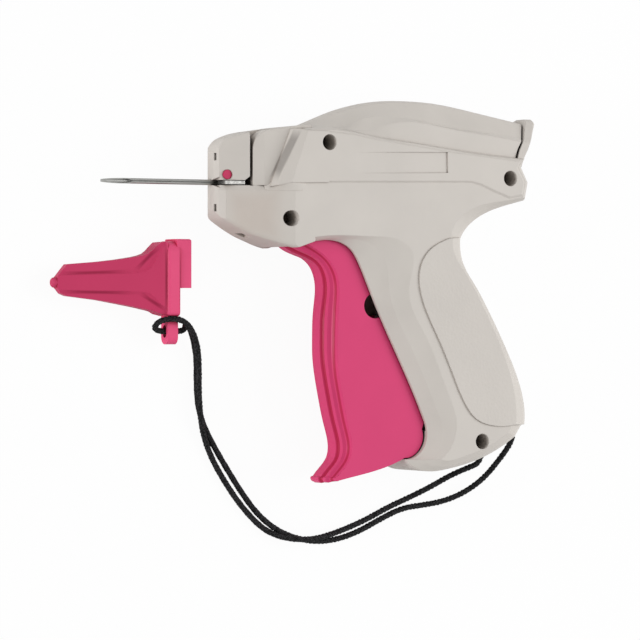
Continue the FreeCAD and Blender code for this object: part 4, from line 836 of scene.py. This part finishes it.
@dataclass
class ReturnSpring:
    """The coil spring between the trigger's web and the back of the handle.

    Its ends and its height are shares of the span, and its other sizes are in metres. held_length is not
    used.
    """

    datum: Datum
    finish: Material
    start_share: float = 0.802
    end_share: float = 1.183
    height_share: float = -0.700
    radius: float = 0.0032
    wire_radius: float = 0.0004
    pitch: float = 0.0034
    steps_per_turn: int = 28
    wire_sides: int = 8
    held_length: float = 0.0042

    def build(self) -> None:
        """Builds the coil and hides the imported spring in its place."""
        foot = self.datum.point(self.start_share, self.height_share, 0.0)
        seat = self.datum.point(self.end_share, self.height_share, 0.0)
        travel = seat.x - foot.x - 2 * self.wire_radius
        steps = round(travel / self.pitch * self.steps_per_turn)
        made = bmesh.new()
        rings = []
        for i in range(steps + 1):
            turn = 2 * math.pi * i / self.steps_per_turn
            outward = Vector((0.0, math.cos(turn), math.sin(turn)))
            along = Vector((self.pitch / (2 * math.pi), -math.sin(turn) * self.radius,
                            math.cos(turn) * self.radius)).normalized()
            centre = foot + Vector((self.wire_radius + travel * i / steps, 0.0, 0.0)) + outward * self.radius
            rings.append(add_ring(made, centre, outward, along.cross(outward), self.wire_radius,
                                  self.wire_sides))
        close_tube(made, rings)
        coil = new_piece("return_coil", made, self.finish)
        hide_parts("return_spring")
        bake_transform(coil)


@dataclass
class Lanyard:
    """The black braided cord between the handle's heel and the cap's lug.

    diameter, that of the plain cord, is not used, and braid_diameter is that over the crests of its strands.
    pitch is the length along the cord in which a strand goes round once, and step the length between
    two points of a strand. These sizes are in metres. The route of the free cord, that of its tunnel
    through the heel and the two ends of its bend are points in shares of the span.
    """

    datum: Datum
    yarn: Material
    diameter: float = 0.0019
    braid_diameter: float = 0.00246
    strands: int = 12
    pitch: float = 0.0052
    step: float = 0.00040
    strand_width: float = 0.00032
    strand_sides: int = 5
    weave_depth: float = 0.00013
    core_sides: int = 8
    line_steps: int = 8
    bend_start: Triple = (0.25, -1.20, -0.14)
    bend_end: Triple = (-0.03, -0.62, -0.10)
    tunnel: tuple[Triple, ...] = (
        (1.2445, -0.912, -0.003), (1.172, -0.907, -0.003), (1.146, -1.008, -0.003),
    )
    route: tuple[Triple, ...] = (
        (1.146, -1.008, -0.003), (1.137, -1.043, -0.003), (1.098, -1.060, -0.020), (1.040, -1.089, -0.055),
        (0.972, -1.134, -0.092), (0.897, -1.174, -0.125), (0.812, -1.209, -0.1372),
        (0.725, -1.250, -0.1372), (0.640, -1.282, -0.1372), (0.555, -1.306, -0.129),
        (0.480, -1.3185, -0.112), (0.410, -1.3185, -0.112), (0.340, -1.306, -0.129),
        (0.270, -1.272, -0.1372), (0.186, -1.189, -0.1372), (0.119, -1.100, -0.1372),
        (0.060, -1.005, -0.1372), (0.022, -0.915, -0.128), (0.002, -0.830, -0.1115),
        (-0.003, -0.760, -0.1095), (-0.004, -0.690, -0.1065), (-0.010, -0.625, -0.099),
        (-0.028, -0.574, -0.084), (-0.060, -0.528, -0.064), (-0.104, -0.4985, -0.0500),
        (-0.158, -0.4965, -0.0495), (-0.191, -0.5060, -0.0620), (-0.200, -0.5285, -0.0830),
        (-0.178, -0.5425, -0.0935), (-0.095, -0.5425, -0.0935), (-0.070, -0.538, -0.0960),
        (-0.060, -0.513, -0.1000), (-0.035, -0.540, -0.1100), (-0.014, -0.590, -0.1240),
        (0.001, -0.645, -0.1360), (0.001, -0.725, -0.1372), (0.006, -0.815, -0.1372),
        (0.030, -0.890, -0.1372), (0.075, -0.970, -0.1372), (0.130, -1.055, -0.1372),
        (0.190, -1.142, -0.1372), (0.255, -1.222, -0.1372), (0.335, -1.283, -0.1372),
        (0.425, -1.318, -0.1372), (0.515, -1.331, -0.1372), (0.605, -1.322, -0.1372),
        (0.695, -1.293, -0.1372), (0.785, -1.250, -0.1372), (0.875, -1.213, -0.1372),
        (0.965, -1.204, -0.1370), (1.055, -1.192, -0.134), (1.142, -1.159, -0.119), (1.210, -1.106, -0.092),
        (1.252, -1.040, -0.056), (1.290, -0.970, -0.022), (1.290, -0.9151, -0.003), (1.2445, -0.912, -0.003),
    )

    def centreline(self, route: tuple[Triple, ...]) -> list[Vector]:
        """Lays a smooth line along a route.

        Args:
            route: The line's control points, as shares of the span from the datum.

        Returns:
            Points along the line, in metres.
        """
        curve = bpy.data.curves.new("lanyard_line", "CURVE")
        curve.dimensions = "3D"
        curve.resolution_u = self.line_steps
        spline = curve.splines.new("NURBS")
        spline.points.add(len(route) - 1)
        for knot, share in zip(spline.points, route):
            knot.co = (*self.datum.point(*share), 1.0)
        spline.order_u = 3
        spline.use_endpoint_u = True
        carrier = bpy.data.objects.new("lanyard_line", curve)
        bpy.context.collection.objects.link(carrier)
        drawn = bpy.data.meshes.new_from_object(carrier)
        line = [vertex.co.copy() for vertex in drawn.vertices]
        bpy.data.objects.remove(carrier)
        bpy.data.meshes.remove(drawn)
        return line

    def strand_place(self, nodes: Nodes, given: bpy.types.NodeOutputs,
                     ordinal: Socket) -> tuple[Socket, Socket]:
        """Works out where a strand lies round the line, over and under the strands that cross it.

        Args:
            nodes: The node tree.
            given: The tree's inputs.
            ordinal: The strand's number. Even and odd ones wind opposite ways.

        Returns:
            The angle round the line in radians and the distance from it in metres.
        """
        along = nodes.add("GeometryNodeSplineParameter").outputs["Length"]
        half = nodes.arithmetic("DIVIDE", given["Strands"], 2.0)
        pair = nodes.arithmetic("FLOOR", nodes.arithmetic("DIVIDE", ordinal, 2.0))
        odd = nodes.arithmetic("MODULO", ordinal, 2.0)
        side = nodes.arithmetic("SUBTRACT", nodes.arithmetic("MULTIPLY", odd, 2.0), 1.0)
        phase = nodes.arithmetic("MULTIPLY", nodes.arithmetic("DIVIDE", pair, half), 2 * math.pi)
        turns = nodes.arithmetic("DIVIDE", along, given["Pitch"])
        wound = nodes.arithmetic("MULTIPLY", turns, 2 * math.pi)
        angle = nodes.arithmetic("ADD", nodes.arithmetic("MULTIPLY", wound, side), phase)
        crossing = nodes.arithmetic("ADD", nodes.arithmetic("MULTIPLY", wound, half),
                                    nodes.arithmetic("MULTIPLY", pair, math.pi))
        over = nodes.arithmetic("MULTIPLY", nodes.arithmetic("SINE", crossing), side)
        lift = nodes.arithmetic("MULTIPLY", over, given["Weave Depth"])
        crest = nodes.arithmetic("SUBTRACT", given["Radius"], given["Strand Width"])
        middle = nodes.arithmetic("SUBTRACT", crest, given["Weave Depth"])
        return angle, nodes.arithmetic("ADD", middle, lift)

    def braid_tree(self) -> bpy.types.NodeTree:
        """Builds the node tree that winds crossing strands round a line.

        Returns:
            A geometry node tree with named inputs for its sizes.
        """
        tree = bpy.data.node_groups.new("braid_strands", "GeometryNodeTree")
        face = tree.interface
        face.new_socket("Geometry", in_out="INPUT", socket_type="NodeSocketGeometry")
        for name, value in (("Radius", self.braid_diameter / 2), ("Pitch", self.pitch), ("Step", self.step),
                            ("Strand Width", self.strand_width), ("Weave Depth", self.weave_depth)):
            socket = face.new_socket(name, in_out="INPUT", socket_type="NodeSocketFloat")
            socket.default_value = value
        count = face.new_socket("Strands", in_out="INPUT", socket_type="NodeSocketInt")
        count.default_value = self.strands
        face.new_socket("Material", in_out="INPUT", socket_type="NodeSocketMaterial")
        face.new_socket("Geometry", in_out="OUTPUT", socket_type="NodeSocketGeometry")

        nodes = Nodes(tree)
        given = nodes.add("NodeGroupInput").outputs
        line = nodes.add("GeometryNodeMeshToCurve", Mesh=given["Geometry"])
        even = nodes.add("GeometryNodeResampleCurve", mode="LENGTH", Curve=line.outputs["Curve"],
                         Length=given["Step"])
        copies = nodes.add("GeometryNodeDuplicateElements", domain="SPLINE", Geometry=even.outputs["Curve"],
                           Amount=given["Strands"])
        angle, reach = self.strand_place(nodes, given, copies.outputs["Duplicate Index"])

        normal = nodes.add("GeometryNodeInputNormal").outputs["Normal"]
        tangent = nodes.add("GeometryNodeInputTangent").outputs["Tangent"]
        turn = nodes.add("ShaderNodeVectorRotate", rotation_type="AXIS_ANGLE", Vector=normal, Axis=tangent,
                         Angle=angle)
        away = nodes.add("ShaderNodeVectorMath", turn.outputs["Vector"], operation="SCALE", Scale=reach)
        strand = nodes.add("GeometryNodeSetPosition", Geometry=copies.outputs["Geometry"],
                           Offset=away.outputs["Vector"])

        section = nodes.add("GeometryNodeCurvePrimitiveCircle", mode="RADIUS", Resolution=self.strand_sides,
                            Radius=1.0)
        width = nodes.add("ShaderNodeCombineXYZ", given["Strand Width"], given["Strand Width"], 1.0)
        thin = nodes.add("GeometryNodeTransform", Geometry=section.outputs["Curve"],
                         Scale=width.outputs["Vector"])
        swept = nodes.add("GeometryNodeCurveToMesh", Curve=strand.outputs["Geometry"],
                          Profile_Curve=thin.outputs["Geometry"], Fill_Caps=True)
        smooth = nodes.add("GeometryNodeSetShadeSmooth", Geometry=swept.outputs["Mesh"])
        real = nodes.add("GeometryNodeRealizeInstances", Geometry=smooth.outputs["Geometry"])
        paint = nodes.add("GeometryNodeSetMaterial", Geometry=real.outputs["Geometry"],
                          Material=given["Material"])
        nodes.add("NodeGroupOutput", Geometry=paint.outputs["Geometry"])
        return tree

    def braid(self, name: str, line: list[Vector]) -> bpy.types.Object:
        """Braids a piece of cord along a line.

        Args:
            name: The piece's name.
            line: Its centre line.

        Returns:
            The piece, with the yarn's finish.
        """
        wire = bpy.data.meshes.new(name + "_path")
        wire.from_pydata([tuple(p) for p in line], [(i, i + 1) for i in range(len(line) - 1)], [])
        carrier = bpy.data.objects.new(name + "_path", wire)
        bpy.context.collection.objects.link(carrier)
        tree = self.braid_tree()
        modifier = carrier.modifiers.new("braid", "NODES")
        modifier.node_group = tree
        for item in tree.interface.items_tree:
            if item.in_out == "INPUT" and item.name == "Material":
                modifier[item.identifier] = self.yarn
        seen = carrier.evaluated_get(bpy.context.evaluated_depsgraph_get())
        mesh = bpy.data.meshes.new_from_object(seen)
        bpy.data.objects.remove(carrier)
        bpy.data.node_groups.remove(tree)
        cord = bpy.data.objects.new(name, mesh)
        bpy.context.collection.objects.link(cord)
        shell = bmesh.new()
        shell.from_mesh(mesh)
        shell.from_mesh(self.core(line))
        shell.to_mesh(mesh)
        shell.free()
        mesh.materials.clear()
        mesh.materials.append(self.yarn)
        for polygon in mesh.polygons:
            polygon.use_smooth = True
            polygon.material_index = 0
        log.info("%s: %d points, %d faces", name, len(line), len(mesh.polygons))
        return cord

    def core(self, line: list[Vector]) -> bpy.types.Mesh:
        """Makes the plain core that shows between the strands.

        Args:
            line: The cord's centre line.

        Returns:
            A closed tube mesh.
        """
        radius = self.braid_diameter / 2 - self.strand_width
        made = bmesh.new()
        rings = []
        across = None
        for i, point in enumerate(line):
            ahead = (line[min(i + 1, len(line) - 1)] - line[max(i - 1, 0)]).normalized()
            if across is None:
                across = ahead.orthogonal().normalized()
            across = (across - ahead * across.dot(ahead)).normalized()
            rings.append(add_ring(made, point, across, ahead.cross(across), radius, self.core_sides))
        close_tube(made, rings)
        mesh = bpy.data.meshes.new("lanyard_core")
        made.to_mesh(mesh)
        made.free()
        return mesh

    def build(self) -> None:
        line = self.centreline(self.route)
        cord = self.braid("lanyard", line)
        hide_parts("lanyard_cord")
        tuple(self.datum.point(*self.bend_start))
        tuple(self.datum.point(*self.bend_end))
        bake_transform(cord)
        root = self.braid("lanyard_root", self.centreline(self.tunnel))
        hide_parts("lanyard_anchor")
        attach(root, Body.HOUSING.value)


@dataclass(frozen=True)
class Lamp:
    """A soft square lamp: its place in shares of the span, its side in metres and its power in watts."""

    name: str
    place: Triple
    side: float
    power: float


@dataclass
class Studio:
    """A white floor, soft light from above and the camera of the photograph.

    The target is in shares of the span from the datum. Lengths are in metres, frame_width at the
    target among them. The sensor's width is in millimetres, and the azimuth, in degrees, is how far
    the camera stands off the vertical.
    """

    datum: Datum
    azimuth: float = 29.0
    distance: float = 1.4
    frame_width: float = 0.2368
    target: Triple = (0.4444, -0.5010, 0.0)
    sensor: float = 36.0
    clip_start: float = 0.05
    clip_end: float = 20.0
    ambient: float = 0.53
    floor_half: float = 6.0
    floor_drop: float = 0.0002
    floor_white: float = 0.93
    floor_glow: float = 0.95
    lamps: tuple[Lamp, ...] = (
        Lamp("key_lamp", (14.8, 1.3, 10.8), 1.2, 19.0),
        Lamp("side_lamp", (-15.0, -0.5, 2.9), 0.5, 10.0),
    )

    def camera(self) -> None:
        """Sets the camera where the photograph was taken from."""
        angle = math.radians(self.azimuth)
        back = Vector((-math.sin(angle), 0.0, math.cos(angle)))
        right = Vector((math.cos(angle), 0.0, math.sin(angle)))
        turn = Matrix((right, back.cross(right), back)).transposed()
        lens = bpy.data.cameras.new("studio_camera")
        lens.sensor_width = self.sensor
        lens.lens = self.sensor * self.distance / self.frame_width
        lens.clip_start = self.clip_start
        lens.clip_end = self.clip_end
        camera = bpy.data.objects.new("studio_camera", lens)
        bpy.context.collection.objects.link(camera)
        place = self.datum.point(*self.target) + back * self.distance
        camera.matrix_world = Matrix.Translation(place) @ turn.to_4x4()
        bpy.context.scene.camera = camera

    def light(self, lamp: Lamp) -> None:
        """Adds a lamp that faces the tool.

        Args:
            lamp: The lamp's place, size and power.
        """
        light = bpy.data.lights.new(lamp.name, "AREA")
        light.size = lamp.side
        light.energy = lamp.power
        stand = bpy.data.objects.new(lamp.name, light)
        bpy.context.collection.objects.link(stand)
        place = self.datum.point(*lamp.place)
        facing = (place - self.datum.point(*self.target)).to_track_quat("Z", "Y").to_matrix().to_4x4()
        stand.matrix_world = Matrix.Translation(place) @ facing

    def floor(self) -> None:
        """Lays the white floor that keeps a faint shadow."""
        mesh = bpy.data.meshes.new("floor")
        side = self.floor_half
        mesh.from_pydata([(-side, -side, 0), (side, -side, 0), (side, side, 0), (-side, side, 0)], [],
                         [(0, 1, 2, 3)])
        floor = bpy.data.objects.new("floor", mesh)
        bpy.context.collection.objects.link(floor)
        floor.location.z = -self.floor_drop
        made, nodes = start_material("floor_white")
        chalk = nodes.add("ShaderNodeBsdfDiffuse", Color=(self.floor_white,) * 3 + (1.0,))
        glow = nodes.add("ShaderNodeEmission", Strength=1.0)
        ray = nodes.add("ShaderNodeLightPath").outputs
        share = nodes.arithmetic("MULTIPLY", ray["Is Camera Ray"], self.floor_glow)
        mix = nodes.add("ShaderNodeMixShader", share, chalk.outputs["BSDF"], glow.outputs["Emission"])
        nodes.add("ShaderNodeOutputMaterial", Surface=mix.outputs["Shader"])
        mesh.materials.append(made)

    def world(self) -> None:
        """Surrounds the tool with plain light, which is full white where it is seen or mirrored."""
        world = bpy.data.worlds.new("studio_white")
        bpy.context.scene.world = world
        world.use_nodes = True
        world.node_tree.nodes.clear()
        nodes = Nodes(world.node_tree)
        ray = nodes.add("ShaderNodeLightPath").outputs
        seen = nodes.arithmetic("MAXIMUM", ray["Is Camera Ray"], ray["Is Glossy Ray"])
        sharp = nodes.arithmetic("MAXIMUM", seen, ray["Is Transmission Ray"])
        level = nodes.add("ShaderNodeMapRange", sharp, To_Min=self.ambient, To_Max=1.0)
        sky = nodes.add("ShaderNodeBackground", Color=(*WHITE, 1.0), Strength=level.outputs["Result"])
        nodes.add("ShaderNodeOutputWorld", Surface=sky.outputs["Background"])

    def build(self) -> None:
        """Sets up the whole studio."""
        self.camera()
        self.floor()
        self.world()
        for lamp in self.lamps:
            self.light(lamp)
        bpy.context.scene.view_settings.view_transform = "Standard"
        log.info("studio ready")


def main() -> None:
    """Builds every piece in order and reports it."""
    logging.basicConfig(level=logging.INFO, format="%(name)s: %(message)s")
    datum = Datum()
    studio = Studio(datum)
    studio.build()
    palette = Palette(datum.point(0.0, 0.0, 0.0).z)
    Lanyard(datum, palette.yarn).build()
    LedgeBlend(datum, palette.housing).build()
    NeedleSeat(datum, palette.steel).build()
    ReturnSpring(datum, palette.steel).build()
    Casting(palette).dress()


if __name__ == "__main__":
    main()
